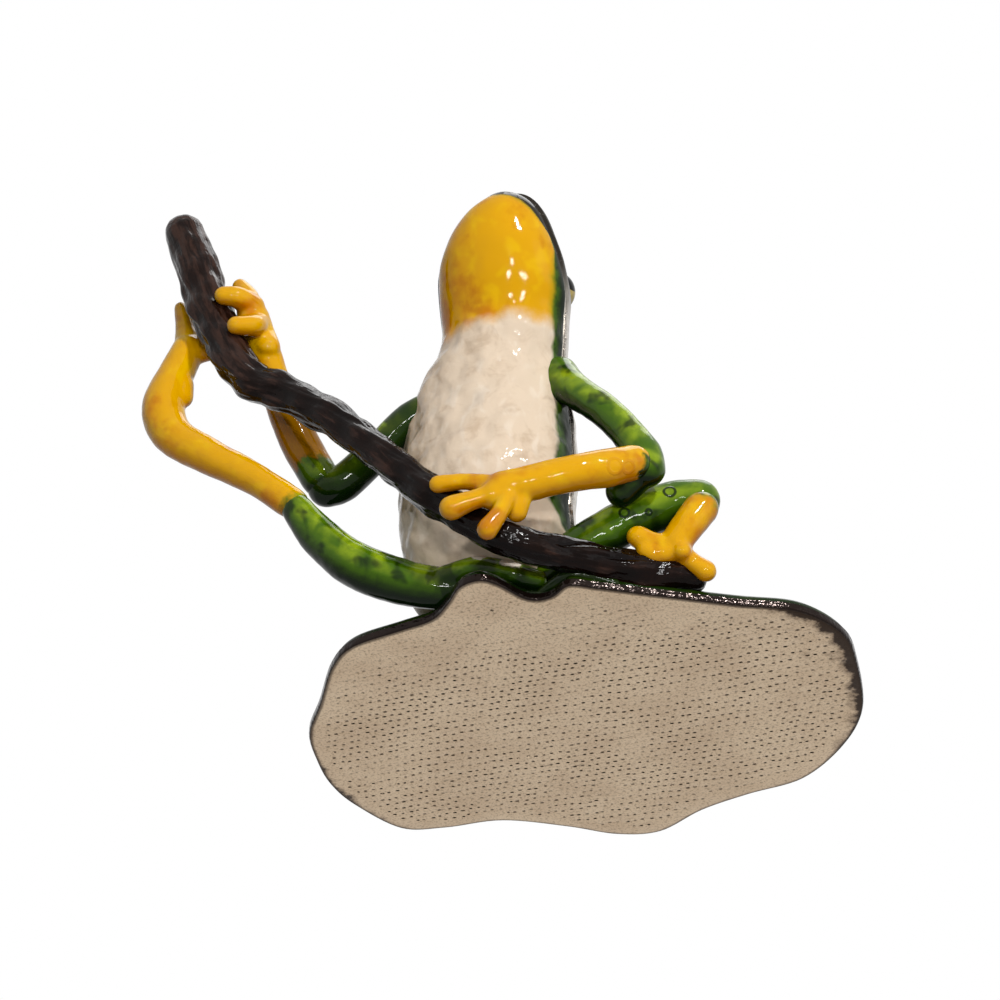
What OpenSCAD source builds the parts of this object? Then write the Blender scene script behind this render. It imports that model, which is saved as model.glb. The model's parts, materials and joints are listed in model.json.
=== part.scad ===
// Keepsake box shaped as a tree frog that sits on a leaf and holds a branch across its front.
// The back and the upper head are the lid. It swings backwards on a hinge at the rump.

/* [Leaf stand] */
// Half the width of the leaf
leaf_half = 37.3; // [30:0.1:50]
// Thickness of the cast leaf
leaf_thick = 1.2; // [0.8:0.05:2.4]
// Thickness of the enamel on top of the leaf
leaf_glaze = 0.9; // [0.4:0.05:1.6]
// Radius of the curled edge at the front of the leaf
curl_radius = 0.8; // [0.6:0.05:1]
// How far the leaf's bare metal edge stands out beyond its enamel
leaf_bead = 0.45; // [0.2:0.05:1]
// Height of the veins above the enamel
vein_rise = 0.35; // [0.1:0.05:0.8]
// Half the width of the middle vein at its root
vein_half = 0.9; // [0.5:0.05:1.6]

/* [Body] */
// Half the width of the belly at its widest
belly_half = 11.7; // [10:0.1:14]
// Height from the seat to the top of the head
body_tall = 57; // [54:0.1:60]
// Thickness of the cast wall under the enamel
wall = 1.3; // [0.9:0.05:2]
// Thickness of the enamel on the body
glaze = 0.35; // [0.2:0.05:0.6]
// Height of the bare metal foot that the frog sits on
foot_height = 0.9; // [0.6:0.05:1.4]
// Width of bare metal left along the front shell's edge
front_edge = 0.45; // [0.3:0.05:1]
// Width of the green band beside the front shell's edge
flank_band = 1.5; // [0.8:0.1:3]
// Width of the bare metal rim round the lid
lid_rim = 1.2; // [0.6:0.05:2]
// How far the lid's rim stands out
rim_rise = 0.3; // [0.1:0.05:0.6]
// Height of the line where the throat's yellow meets the belly's white, as a share of the frog's height
throat_share = 0.669; // [0.63:0.001:0.84]

/* [Closing] */
// Gap between the lid's edge and the front shell's edge
seam_gap = 0.15; // [0.1:0.05:0.4]
// Gap between the locating lip and the lid's inside
lip_gap = 0.3; // [0.2:0.05:0.6]
// Thickness of the locating lip
lip_thick = 0.7; // [0.4:0.05:1.2]
// How far the locating lip reaches past the edge
lip_reach = 1.1; // [0.6:0.05:2]
// How far the lip's root runs down inside the front shell
lip_root = 1.8; // [1:0.1:3]
// Height where the locating lip starts, as a share of the frog's height
lip_share = 0.526; // [0.42:0.001:0.63]
// Radius of each magnet
magnet_radius = 1.5; // [1:0.05:2]
// Thickness of each magnet
magnet_thick = 1.2; // [0.8:0.05:1.6]
// Distance of each magnet's face below the seam
magnet_sunk = 0.1; // [0.05:0.05:0.3]
// Gap round each magnet in its pocket
magnet_gap = 0.05; // [0.02:0.01:0.1]
// Metal round each magnet's pocket
magnet_wall = 0.7; // [0.5:0.05:1]

/* [Hinge] */
// Height of the hinge axis above the seat
hinge_height = 9; // [8:0.1:10]
// How far the blocks under the hinge leaves stand out of the rump
pad_out = 0.4; // [0.3:0.05:0.8]
// Radius of the hinge pin
pin_radius = 0.5; // [0.4:0.05:0.7]
// Radius of the knuckles
knuckle_radius = 1.15; // [1:0.05:1.4]
// Running clearance between the pin and the lid's knuckle
pin_clearance = 0.04; // [0.02:0.01:0.08]
// Length of each body knuckle
body_knuckle = 3; // [2:0.1:4]
// Length of the lid's knuckle
lid_knuckle = 3.4; // [2:0.1:5]
// Gap between neighbouring knuckles
knuckle_gap = 0.15; // [0.1:0.05:0.3]
// Thickness of the hinge leaves
hinge_leaf = 0.6; // [0.4:0.05:0.9]
// How far the hinge leaves reach from the axis
hinge_reach = 3.4; // [2.6:0.1:4.2]
// Gap between a hinge leaf and the other part
hinge_gap = 0.25; // [0.15:0.05:0.5]

/* [Eyes] */
// Radius of the eyeballs
eye_radius = 2.8; // [2.4:0.05:3]
// Thickness of the brow round each eyeball
brow_wall = 0.75; // [0.6:0.05:1]
// How far each eyeball stands out of its brow
eye_proud = 1.5; // [1.2:0.1:1.8]
// Gap round each eyeball in its socket
eye_gap = 0.03; // [0.02:0.01:0.1]
// Height of the eyes, as a share of the frog's height
eye_share = 0.85; // [0.82:0.001:0.87]
// Distance of the eyes in front of the origin, as a share of half the belly's width
eye_front_share = 0.154; // [0.1:0.001:0.25]
// Distance of each eye from the middle of the head, as a share of half the belly's width
eye_apart_share = 0.45; // [0.42:0.001:0.47]

/* [Branch] */
// Middle line of the branch from its top end to its lower end on the leaf
branch_line = [[-39.1, -16.5, 61.8], [-37.1, -16, 55.6], [-35.5, -15.5, 49.5], [-32.6, -15, 41.6],
    [-28.7, -14.5, 35], [-23.3, -14.2, 31.2], [-16.4, -13.8, 25.2], [-8.3, -13.2, 16.3],
    [-3.1, -12.6, 10.8], [5.3, -10.1, 4.5], [13, -3.4, 4.3], [20.2, 1.8, 4.2], [24.2, 4.4, 4.3]];
// Radius of the branch
branch_radius = 2.3; // [1.8:0.05:2.6]

/* [Arms] */
// Left arm from inside the shoulder to the elbow
left_arm_line = [[9.6, -2.5, 35.3], [11, -3.6, 32.7], [12.8, -4.4, 30.1], [16.2, -5, 26.1], [18.7, -4.9, 22.5],
    [21, -4.7, 18.2], [21.4, -4.7, 15.6]];
// Left shoulder from its top to its underside
left_shoulder_line = [[9.9, -2.6, 35.2], [10.1, -3.3, 31.7]];
// Left elbow from its point to its underside
left_elbow_line = [[20.9, -4.6, 15.4], [17.8, -3.4, 13.9]];
// Left forearm from the elbow to the palm
left_forearm_line = [[20.4, -6.8, 15.3], [17.6, -8.8, 13.7], [13.4, -10.9, 12.2], [8.7, -12.6, 10.7],
    [5.4, -13.8, 9.6]];
// Palm of the left hand, across the roots of its fingers
left_palm_line = [[5.6, -13.4, 10.2], [4.4, -14.2, 8.6]];
// Palm of the right hand, across the roots of its fingers
right_palm_line = [[-29.4, -13.8, 45.2], [-29.8, -14.2, 48.2]];
// Radius of a palm
palm_radius = 2.1; // [1.6:0.05:2.4]
// Left fingers and thumb from the palm to their tips
left_finger_lines = [[[5.2, -14, 9.8], [1.2, -14.6, 11.2], [-2.5, -15.2, 11.2]],
    [[5.2, -14, 9.1], [2.7, -15, 8], [-0.5, -15.6, 6.8]],
    [[6.2, -13.8, 8.7], [5.5, -14.8, 5.4], [3.9, -15, 3]],
    [[7.4, -12.8, 10], [7.2, -12.6, 8.4], [6.8, -12.3, 7]]];
// Right arm from inside the shoulder to the elbow
right_arm_line = [[-6.5, -4.4, 32.8], [-10.1, -4.6, 31.4], [-14.7, -4, 27.7], [-19.5, -3.4, 24.2],
    [-21.9, -3.6, 23.6]];
// Right forearm from the elbow to the palm
right_forearm_line = [[-22.6, -4.4, 24.8], [-24.7, -5.6, 29.2], [-26.2, -7.6, 33.4], [-27.4, -9.8, 37.8],
    [-28.2, -11.8, 41.8], [-29.3, -13.8, 46.4]];
// Right fingers from the palm to their tips
right_finger_lines = [[[-29.4, -14.3, 47.4], [-30.1, -14.7, 49.6], [-31.1, -14.9, 51.4]],
    [[-29.3, -14.6, 47.6], [-30.4, -17, 47.6], [-32, -18, 47.6]],
    [[-28.6, -13.6, 45.2], [-28.4, -16, 43], [-30, -17.8, 42]],
    [[-28.6, -13.2, 44.2], [-28.2, -12.6, 43.4], [-27.4, -12.8, 41.6]]];
// Radius of an arm
arm_radius = 2.4; // [2:0.05:2.6]
// Radius of a finger or a toe
digit_radius = 1.2; // [0.9:0.05:1.3]

/* [Legs] */
// Left thigh from inside the hip to the knee
left_thigh_line = [[6.6, 0, 5.8], [10.6, -0.4, 8.2], [14.2, 0.2, 10.5], [18.8, 1.2, 12.9], [23, 2.4, 14.8],
    [26.2, 2.9, 14.9]];
// Left shin from the knee to the ankle
left_shin_line = [[26.8, 1.3, 12.4], [25.2, 0.8, 9.9], [23.5, 0.7, 7.5]];
// Left toes from the ankle to their tips
left_toe_lines = [[[23.2, 0.6, 6.8], [20.9, -0.3, 7.3], [19.1, -1, 8.1]],
    [[22.8, 0.6, 6.2], [20.9, 0, 5.8], [19.9, -0.4, 6.3]],
    [[23.9, 0.7, 6.8], [24.1, 0.5, 6.3], [24.3, 0.3, 5.7]],
    [[23.8, 1.6, 6.2], [25.4, 2.2, 4.8], [26.6, 2.9, 3.9]]];
// Right thigh from inside the hip to the knee
right_thigh_line = [[5.2, 0, 3.8], [-0.1, -1.2, 4.4], [-6.3, -2.9, 4.5], [-11.8, -4.5, 6], [-17, -6.2, 8.6],
    [-21.2, -7.8, 12.9], [-23.6, -9, 16.5]];
// Right shin from the knee to the ankle
right_shin_line = [[-24.2, -9.2, 17.5], [-29.6, -10.4, 22.1], [-35.9, -11.5, 26.6], [-40.2, -12.2, 30.1],
    [-42, -12.6, 34.2], [-41.5, -12.6, 38.2], [-40.3, -12.3, 41.8], [-39.4, -12.1, 44.6]];
// Right toes and heel from the ankle to their tips
right_toe_lines = [[[-39.4, -12.1, 44.6], [-39.9, -12.2, 48.6], [-40.8, -12.4, 52.2]],
    [[-39.3, -12, 44.2], [-37.6, -11.7, 44.6], [-36.2, -11.3, 44.6]],
    [[-40.2, -12.2, 40.4], [-39.9, -12.2, 38.6], [-39.7, -12.1, 36.8]]];
// Radius of a leg
leg_radius = 2.5; // [2:0.05:2.6]

/* [Hidden] */
// Overrun that lets a cut pass right through
cut = 0.5;
// Smallest radius of a lofted section
sliver = 0.02;
// How far each step of the body laps into the next
step_lap = 0.1;
// How far each turn of the seam lies above its section
seam_lift = 0.43;
// Sides of the lofted body
body_sides = 18;
// Sides of the limbs
limb_sides = 10;
// Sides of the fingers and toes
digit_sides = 8;
// Sides of the veins
vein_sides = 6;
// Sides of the branch
branch_sides = 9;
// Sides of a round hole or pin
round_sides = 32;
// Sides of a faceted socket
socket_sides = 16;

metal = [0.75, 0.75, 0.77];
green = [0.2, 0.5, 0.15];
yellow = [0.93, 0.72, 0.08];
white = [0.92, 0.9, 0.85];
bark = [0.27, 0.17, 0.14];
black = [0.05, 0.05, 0.06];

// Heights of the body's sections above the seat
height_shares = [0, 0.036, 0.119, 0.199, 0.318, 0.462, 0.566, 0.656, 0.713, 0.77, 0.832, 0.8875, 0.936,
    0.974, 1];
// How far the middle of each section stands behind the origin
middle_shares = [0.214, 0.171, 0.103, 0.068, 0.026, -0.026, -0.103, -0.239, -0.376, -0.547, -0.709,
    -0.838, -0.94, -1.009, -1.06];
// How far the middle of each section stands to the frog's left
sway_shares = [-0.043, -0.085, -0.111, -0.111, -0.094, -0.055, -0.02, 0.15, 0.234, 0.286, 0.3, 0.334,
    0.397, 0.461, 0.463];
// Half widths of the sections
width_shares = [0.6, 0.82, 0.91, 0.95, 1, 0.96, 0.87, 0.74, 0.714, 0.736, 0.713, 0.626, 0.495, 0.293,
    0.082];
// Depth of each section in front of its middle
front_shares = [0.3, 0.43, 0.68, 0.82, 0.87, 0.8, 0.735, 0.667, 0.615, 0.615, 0.615, 0.564, 0.464, 0.31,
    0.12];
// Depth of each section behind its middle
back_shares = [0.45, 0.65, 0.79, 0.84, 0.855, 0.82, 0.77, 0.718, 0.667, 0.667, 0.632, 0.547, 0.42, 0.27,
    0.11];
// How far the seam runs in front of the middle of each section
seam_shares = [0.03, 0.03, 0.03, 0.03, 0.03, 0.03, 0.03, 0.03, 0.03, 0.04, 0.08, 0.12, 0.15, 0.15, 0.06];
// First section that the seam follows
seam_start = 4;
// How far the lower seam lies behind the origin on its way to the hinge
seam_turn_shares = [[0.43, 0], [0.19, 0.14], [-0.02, 0.42]];

// Outline of the leaf seen from above, from its left edge round the front to the back
leaf_shares = [[-0.885, 0.643], [-0.847, 0.461], [-0.743, 0.292], [-0.622, 0.088], [-0.509, -0.013],
    [-0.322, -0.054], [-0.204, -0.08], [-0.129, -0.145], [-0.054, -0.23], [0.027, -0.247],
    [0.083, -0.198], [0.147, -0.094], [0.217, -0.083], [0.295, -0.129], [0.391, -0.08], [0.59, 0.035],
    [0.804, 0.155], [0.992, 0.255], [1.099, 0.429], [1.105, 0.617], [1.059, 0.912], [0.938, 1.126],
    [0.751, 1.295], [0.536, 1.34], [0.349, 1.394], [0.161, 1.493], [0, 1.464], [-0.161, 1.354],
    [-0.375, 1.239], [-0.59, 1.223], [-0.751, 1.174], [-0.858, 0.965], [-0.893, 0.804]];
// Middle line of the curled edge, as shares of leaf_half, with its height in radii above the enamel
curl_shares = [[0.16, -0.04, -0.6], [0.22, -0.06, 0.2], [0.29, -0.09, 0.5], [0.36, -0.065, 0.2],
    [0.43, -0.03, -0.6]];
// Thickness of the curled edge along its length
curl_thick_shares = [0.7, 1, 1, 0.95, 0.7];
// Ends of the veins, each from the middle vein to the leaf's edge
vein_shares = [[[0.03, 0.42], [0.1, 1.25]], [[0.04, 0.5], [0.62, 0.3]], [[0.05, 0.62], [0.86, 0.62]],
    [[0.07, 0.8], [0.8, 1]], [[0.09, 1], [0.5, 1.2]], [[0.03, 0.5], [-0.55, 0.3]],
    [[0.04, 0.62], [-0.72, 0.65]], [[0.06, 0.8], [-0.68, 1]], [[0.08, 1], [-0.3, 1.15]]];
// Thickness of the branch along its length
knob_shares = [1.2, 1.24, 1.24, 1.14, 1.16, 1.06, 1.02, 1.02, 1, 0.96, 1, 1.04, 0.94];
// Thickness of the left upper arm along its length
left_arm_shares = [1.1, 1, 0.94, 0.9, 0.92, 1, 1.04];
// Thickness of the left shoulder along its line
shoulder_shares = [0.96, 0.78];
// Thickness of the left elbow along its line
elbow_shares = [0.9, 0.86];
// Thickness of the right upper arm along its length
right_arm_shares = [0.95, 0.95, 0.98, 1.06, 1.08];
// Thickness of the left forearm along its length
left_forearm_shares = [0.93, 1.02, 0.97, 0.96, 0.94];
// Thickness of the right forearm along its length
right_forearm_shares = [1.08, 1.1, 1.04, 0.88, 0.86, 0.88];
// Thickness of a palm from side to side
palm_shares = [1, 0.9];
// Thickness of each left finger and of the thumb along its length
left_finger_shares = [[1.25, 0.92, 0.95], [1.25, 1.05, 1.35], [1.25, 0.95, 1.15], [1.25, 1.3, 1.2]];
// Thickness of each right finger and of the ball of the thumb along its length
right_finger_shares = [[1.5, 1.25, 0.95], [1.5, 1.25, 1.1], [1.4, 1.2, 1.05], [1.4, 1.5, 1.4]];
// Thickness of each left toe, of its web and of the heel along its length
left_toe_shares = [[1.3, 1.15, 1.25], [1.25, 1.15, 1.1], [1.15, 1.1, 1.05], [1.2, 1.05, 1.2]];
// Thickness of each right toe and of the ankle along its length
right_toe_shares = [[1.6, 1.2, 0.75], [1.5, 1.45, 1.2], [1.3, 1.45, 1.3]];
// Thickness of the left thigh along its length
left_thigh_shares = [0.95, 1.06, 1.16, 1.22, 1.2, 1.1];
// Thickness of the right thigh along its length
right_thigh_shares = [0.95, 1, 1.1, 1.18, 1.18, 1.02, 0.84];
// Thickness of the right shin along its length
right_shin_shares = [0.84, 0.86, 0.98, 1.08, 1.16, 1.04, 0.94, 0.88];
// Thickness of the short left shin along its length
left_shin_shares = [0.9, 0.86, 0.8];

leaf_top = leaf_thick + leaf_glaze;
seat = leaf_top;
count = len(height_shares);
hinge_z = seat + hinge_height;
hinge_x = sway_shares[2] * belly_half;
hinge_half = lid_knuckle / 2 + knuckle_gap + body_knuckle;
lip_out = -wall - glaze - lip_gap;
far = body_tall;

function section_z(i) = seat + height_shares[i] * body_tall;
function section_y(i) = middle_shares[i] * belly_half;
function section_x(i) = sway_shares[i] * belly_half;
function seam_point(i) = [section_y(i) - seam_shares[i] * belly_half, section_z(i) + seam_lift];

// Values between two sections at a height
function span(z, i = 0) = i >= count - 2 || section_z(i + 1) >= z ? i : span(z, i + 1);
function between(a, b, t) = a + (b - a) * t;
function part_way(z, i) = (z - section_z(i)) / (section_z(i + 1) - section_z(i));
function middle_x(z) = let(i = span(z)) between(section_x(i), section_x(i + 1), part_way(z, i));
function rump_y(z) = let(i = span(z)) between(section_y(i) + back_shares[i] * belly_half,
    section_y(i + 1) + back_shares[i + 1] * belly_half, part_way(z, i));
pad_y = rump_y(hinge_z) + pad_out;
hinge_back = pad_y + knuckle_radius + hinge_gap / 2;
eye_z = seat + eye_share * body_tall;

// Smooth closed curve through the leaf's points
function smooth(a, b, c, d, t) = 0.5 * (2 * b + (c - a) * t + (2 * a - 5 * b + 4 * c - d) * t * t
    + (3 * b - a - 3 * c + d) * t * t * t);
function leaf_point(i, t, n) = smooth(leaf_shares[(i + n - 1) % n], leaf_shares[i % n],
    leaf_shares[(i + 1) % n], leaf_shares[(i + 2) % n], t);
leaf_outline = [for (i = [0:len(leaf_shares) - 1]) for (t = [0, 0.5])
    leaf_half * leaf_point(i, t, len(leaf_shares))];

module leaf_prism(inset, height) {
    linear_extrude(height = height)
        offset(delta = -inset)
            polygon(leaf_outline);
}

// Points round one section of the body, larger or smaller by grow
function ring(i, grow) = let(
    w = max(width_shares[i] * belly_half + grow, sliver),
    f = max(front_shares[i] * belly_half + grow, sliver),
    b = max(back_shares[i] * belly_half + grow, sliver),
    z = section_z(i) + grow * (2 * height_shares[i] - 1))
    [for (k = [0:body_sides - 1]) let(a = 360 * k / body_sides)
        [section_x(i) + w * cos(a), section_y(i) + (sin(a) > 0 ? b : f) * sin(a), z]];

// Middle of a section, moved up by lap
function core(i, grow, lap) = [section_x(i), section_y(i),
    section_z(i) + grow * (2 * height_shares[i] - 1) + lap];

// The whole body, larger or smaller by grow, in steps that lap into each other
module body_form(grow = 0) {
    n = body_sides;
    for (i = [0:count - 2])
        hull()
            polyhedron(
                points = concat(ring(i, grow), ring(i + 1, grow),
                    [core(i, grow, i == 0 ? 0 : -step_lap), core(i + 1, grow, i == count - 2 ? 0 : step_lap)]),
                faces = [for (k = [0:n - 1]) for (f = [
                    [n + n, k, (k + 1) % n],
                    [k, n + k, n + (k + 1) % n, (k + 1) % n],
                    [n + n + 1, n + (k + 1) % n, n + k]]) f]);
}

// Region behind the seam as a profile seen from the side, moved by shift towards the front
module lid_profile(shift) {
    turn = [for (p = seam_turn_shares) [p[0] * belly_half, hinge_z + p[1] * belly_half]];
    upper = [for (i = [seam_start:count - 1]) seam_point(i)];
    last = seam_point(count - 1);
    offset(delta = shift)
        polygon(concat([[far, hinge_z]], turn, upper, [[last[0], seat + far + far], [far, seat + far + far]]));
}

module side_region() {
    rotate([90, 0, 90])
        linear_extrude(height = far, center = true)
            children();
}

module lid_side(shift = 0) {
    side_region() lid_profile(shift);
}

module front_side(shift = 0) {
    side_region()
        difference() {
            translate([-far, -far])
                square([far + far, far + far + far]);
            lid_profile(shift);
        }
}

// Layer of enamel on the body
module skin() {
    difference() {
        body_form();
        body_form(-glaze);
    }
}

// Places the magnets square to the seam at the front of the head
magnet_low = seam_point(10);
magnet_high = seam_point(12);
magnet_tilt = atan2(magnet_low[0] - magnet_high[0], magnet_high[1] - magnet_low[1]);
magnet_mid = (magnet_low + magnet_high) / 2;
module at_magnets() {
    translate([middle_x(magnet_mid[1]), magnet_mid[0], magnet_mid[1]])
        rotate([magnet_tilt + 90, 0, 0])
            children();
}

module at_eye(side) {
    translate([middle_x(eye_z) + side * eye_apart_share * belly_half, -eye_front_share * belly_half, eye_z])
        children();
}

// Raised brow that each eyeball sits in
module brow(side) {
    at_eye(side)
        translate([-side * eye_proud, -eye_proud / 2, -eye_proud / 2])
            sphere(r = eye_radius + brow_wall, $fn = socket_sides);
}

module ball(place, radius, sides) {
    translate(place)
        sphere(r = radius, $fn = sides);
}

module limb(line, radius, shares, sides = limb_sides) {
    for (i = [0:len(line) - 2])
        hull() {
            ball(line[i], radius * shares[i], sides);
            ball(line[i + 1], radius * shares[i + 1], sides);
        }
}

// Room that the closed lid takes up, with its clearance
module lid_room() {
    intersection() {
        body_form(rim_rise + lip_gap);
        lid_side(lip_gap);
    }
}

module digits(lines, shares) {
    for (i = [0:len(lines) - 1])
        limb(lines[i], digit_radius, shares[i], digit_sides);
}

module branch_form() {
    limb(branch_line, branch_radius, knob_shares, branch_sides);
}

module ground() {
    translate([-far, -far, -far])
        cube([far + far, far + far, far + leaf_top]);
}

module left_upper_arm_form() {
    limb(left_arm_line, arm_radius, left_arm_shares);
    limb(left_shoulder_line, arm_radius, shoulder_shares);
    limb(left_elbow_line, arm_radius, elbow_shares);
}

module left_forearm_form() {
    limb(left_forearm_line, arm_radius, left_forearm_shares);
    limb(left_palm_line, palm_radius, palm_shares, digit_sides);
    digits(left_finger_lines, left_finger_shares);
}

module right_forearm_form() {
    limb(right_forearm_line, arm_radius, right_forearm_shares);
    limb(right_palm_line, palm_radius, palm_shares, digit_sides);
    digits(right_finger_lines, right_finger_shares);
}

module left_shin_form() {
    limb(left_shin_line, leg_radius, left_shin_shares);
    digits(left_toe_lines, left_toe_shares);
}

module right_thigh_form() {
    limb(right_thigh_line, leg_radius, right_thigh_shares);
}

module right_shin_form() {
    limb(right_shin_line, leg_radius, right_shin_shares);
    digits(right_toe_lines, right_toe_shares);
}

module leaf_base() {
    color(metal)
        leaf_prism(0, leaf_thick);
}

module curl() {
    limb([for (p = curl_shares) [p[0] * leaf_half, p[1] * leaf_half, leaf_glaze + p[2] * curl_radius]],
        curl_radius, curl_thick_shares, digit_sides);
}

module leaf_enamel() {
    color(green)
        translate([0, 0, leaf_thick])
            union() {
                leaf_prism(leaf_bead, leaf_glaze);
                curl();
                for (v = vein_shares)
                    hull() {
                        translate([v[0][0] * leaf_half, v[0][1] * leaf_half, 0])
                            cylinder(r1 = vein_half, r2 = vein_half / 2, h = leaf_glaze + vein_rise,
                                $fn = vein_sides);
                        translate([v[1][0] * leaf_half, v[1][1] * leaf_half, 0])
                            cylinder(r1 = vein_half / 2, r2 = vein_half / 4, h = leaf_glaze + vein_rise / 2,
                                $fn = vein_sides);
                    }
            }
}

// Block on the rump that a hinge leaf is fixed to, below the seam with way -1 and above it with way 1
module hinge_pad(way) {
    translate([hinge_x - hinge_half, pad_y - hinge_reach, way < 0 ? hinge_z - hinge_reach : hinge_z - cut])
        cube([hinge_half + hinge_half, hinge_reach, hinge_reach + cut]);
}

module upper_part(height) {
    translate([-far, -far, seat + height])
        cube([far + far, far + far, far]);
}

module magnet_boss(gap = 0) {
    cylinder(r = magnet_radius + magnet_wall + gap, h = far, $fn = socket_sides);
}

// Web that joins the front magnet's boss to the top of the head
module magnet_web() {
    half = magnet_radius + magnet_wall;
    translate([-half, 0, 0])
        cube([half + half, far, far]);
}

module magnet_pocket() {
    translate([0, 0, -cut])
        cylinder(r = magnet_radius + magnet_gap, h = cut + magnet_sunk + magnet_thick, $fn = socket_sides);
}

// Locating lip that stands past the front shell's edge, inside the lid, with a notch for the lid's magnet boss
module lip_ring() {
    difference() {
        intersection() {
            body_form(lip_out);
            lid_side(lip_root / 2);
            front_side(-lip_reach);
            upper_part(lip_share * body_tall);
        }
        body_form(lip_out - lip_thick);
        at_magnets()
            mirror([0, 0, 1])
                magnet_boss(lip_gap);
    }
}

module front_shell() {
    color(metal)
        difference() {
            union() {
                intersection() {
                    difference() {
                        union() {
                            body_form(-glaze);
                            intersection() {
                                body_form();
                                lid_side(front_edge);
                            }
                            difference() {
                                body_form();
                                upper_part(foot_height);
                            }
                            hinge_pad(-1);
                        }
                        difference() {
                            union() {
                                intersection() {
                                    body_form(-wall - glaze);
                                    front_side(lip_root);
                                }
                                body_form(lip_out - lip_thick - step_lap);
                            }
                            at_magnets()
                                union() {
                                    magnet_boss();
                                    magnet_web();
                                }
                        }
                    }
                    front_side();
                }
                lip_ring();
            }
            at_magnets()
                magnet_pocket();
        }
}

module throat_enamel() {
    color(yellow)
        intersection() {
            skin();
            front_side(front_edge + flank_band);
            upper_part(throat_share * body_tall);
        }
}

module belly_enamel() {
    color(white)
        difference() {
            intersection() {
                skin();
                front_side(front_edge + flank_band);
                upper_part(foot_height);
            }
            upper_part(throat_share * body_tall);
            hinge_pad(-1);
        }
}

module flank_enamel() {
    color(green)
        difference() {
            intersection() {
                skin();
                front_side(front_edge);
                lid_side(front_edge + flank_band);
            }
            hinge_pad(-1);
        }
}

module back_lid() {
    color(metal)
        difference() {
            intersection() {
                difference() {
                    union() {
                        body_form(-glaze);
                        intersection() {
                            body_form(rim_rise);
                            front_side(-seam_gap - lid_rim);
                        }
                        for (side = [-1, 1])
                            brow(side);
                        hinge_pad(1);
                    }
                    difference() {
                        body_form(-wall - glaze);
                        at_magnets()
                            mirror([0, 0, 1])
                                magnet_boss();
                        for (side = [-1, 1])
                            brow(side);
                    }
                }
                lid_side(-seam_gap);
            }
            at_magnets()
                mirror([0, 0, 1])
                    magnet_pocket();
            for (side = [-1, 1])
                at_eye(side)
                    sphere(r = (eye_radius + eye_gap) / pow(cos(180 / socket_sides), 2), $fn = socket_sides);
        }
}

module back_enamel() {
    color(green)
        difference() {
            intersection() {
                skin();
                lid_side(-seam_gap - lid_rim);
            }
            hinge_pad(1);
            for (side = [-1, 1])
                brow(side);
        }
}

module left_eye() {
    color(black)
        at_eye(1)
            sphere(r = eye_radius, $fn = round_sides);
}

module right_eye() {
    color(black)
        at_eye(-1)
            sphere(r = eye_radius, $fn = round_sides);
}

module branch() {
    color(bark)
        difference() {
            branch_form();
            body_form();
            ground();
            translate([0, 0, leaf_thick])
                curl();
        }
}

module left_upper_arm() {
    color(green)
        difference() {
            left_upper_arm_form();
            left_forearm_form();
            body_form();
            lid_room();
        }
}

module left_forearm_and_hand() {
    color(yellow)
        difference() {
            left_forearm_form();
            branch_form();
            body_form();
        }
}

module right_upper_arm() {
    color(green)
        difference() {
            limb(right_arm_line, arm_radius, right_arm_shares);
            right_forearm_form();
            body_form();
            lid_room();
        }
}

module right_forearm_and_hand() {
    color(yellow)
        difference() {
            right_forearm_form();
            branch_form();
        }
}

module left_thigh() {
    color(green)
        difference() {
            limb(left_thigh_line, leg_radius, left_thigh_shares);
            left_upper_arm_form();
            left_shin_form();
            right_thigh_form();
            body_form();
            ground();
        }
}

module left_shin_and_foot() {
    color(yellow)
        difference() {
            left_shin_form();
            branch_form();
            ground();
        }
}

module right_thigh() {
    color(green)
        difference() {
            right_thigh_form();
            right_shin_form();
            body_form();
            ground();
        }
}

module right_shin_and_foot() {
    color(yellow)
        difference() {
            right_shin_form();
            branch_form();
        }
}

module across(from) {
    translate([hinge_x + from, hinge_back, hinge_z])
        rotate([0, 90, 0])
            children();
}

// Knuckle with its foot on the hinge leaf, below the axis with way -1 and above it with way 1
module knuckle(from, length, bore, way) {
    reach = knuckle_radius + hinge_gap + hinge_gap;
    difference() {
        union() {
            across(from)
                cylinder(r = knuckle_radius, h = length, $fn = round_sides);
            translate([hinge_x + from, pad_y, way < 0 ? hinge_z - reach : hinge_z + seam_gap])
                cube([length, hinge_leaf, reach - (way < 0 ? 0 : seam_gap)]);
        }
        across(from - cut)
            cylinder(r = bore, h = length + cut + cut, $fn = round_sides);
    }
}

module hinge_plate(way) {
    start = knuckle_radius + hinge_gap;
    translate([hinge_x - hinge_half, pad_y, way < 0 ? hinge_z - hinge_reach : hinge_z + start])
        cube([hinge_half + hinge_half, hinge_leaf, hinge_reach - start]);
}

module hinge_body_leaf() {
    color(metal)
        union() {
            hinge_plate(-1);
            knuckle(-hinge_half, body_knuckle, pin_radius, -1);
            knuckle(hinge_half - body_knuckle, body_knuckle, pin_radius, -1);
        }
}

module hinge_lid_leaf() {
    color(metal)
        union() {
            hinge_plate(1);
            knuckle(-lid_knuckle / 2, lid_knuckle, pin_radius + pin_clearance, 1);
        }
}

module hinge_pin() {
    color(metal)
        across(-hinge_half)
            cylinder(r = pin_radius, h = hinge_half + hinge_half, $fn = round_sides);
}

module body_magnet() {
    color(metal)
        at_magnets()
            translate([0, 0, magnet_sunk])
                cylinder(r = magnet_radius, h = magnet_thick, $fn = round_sides);
}

module lid_magnet() {
    color(metal)
        at_magnets()
            mirror([0, 0, 1])
                translate([0, 0, magnet_sunk])
                    cylinder(r = magnet_radius, h = magnet_thick, $fn = round_sides);
}

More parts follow.
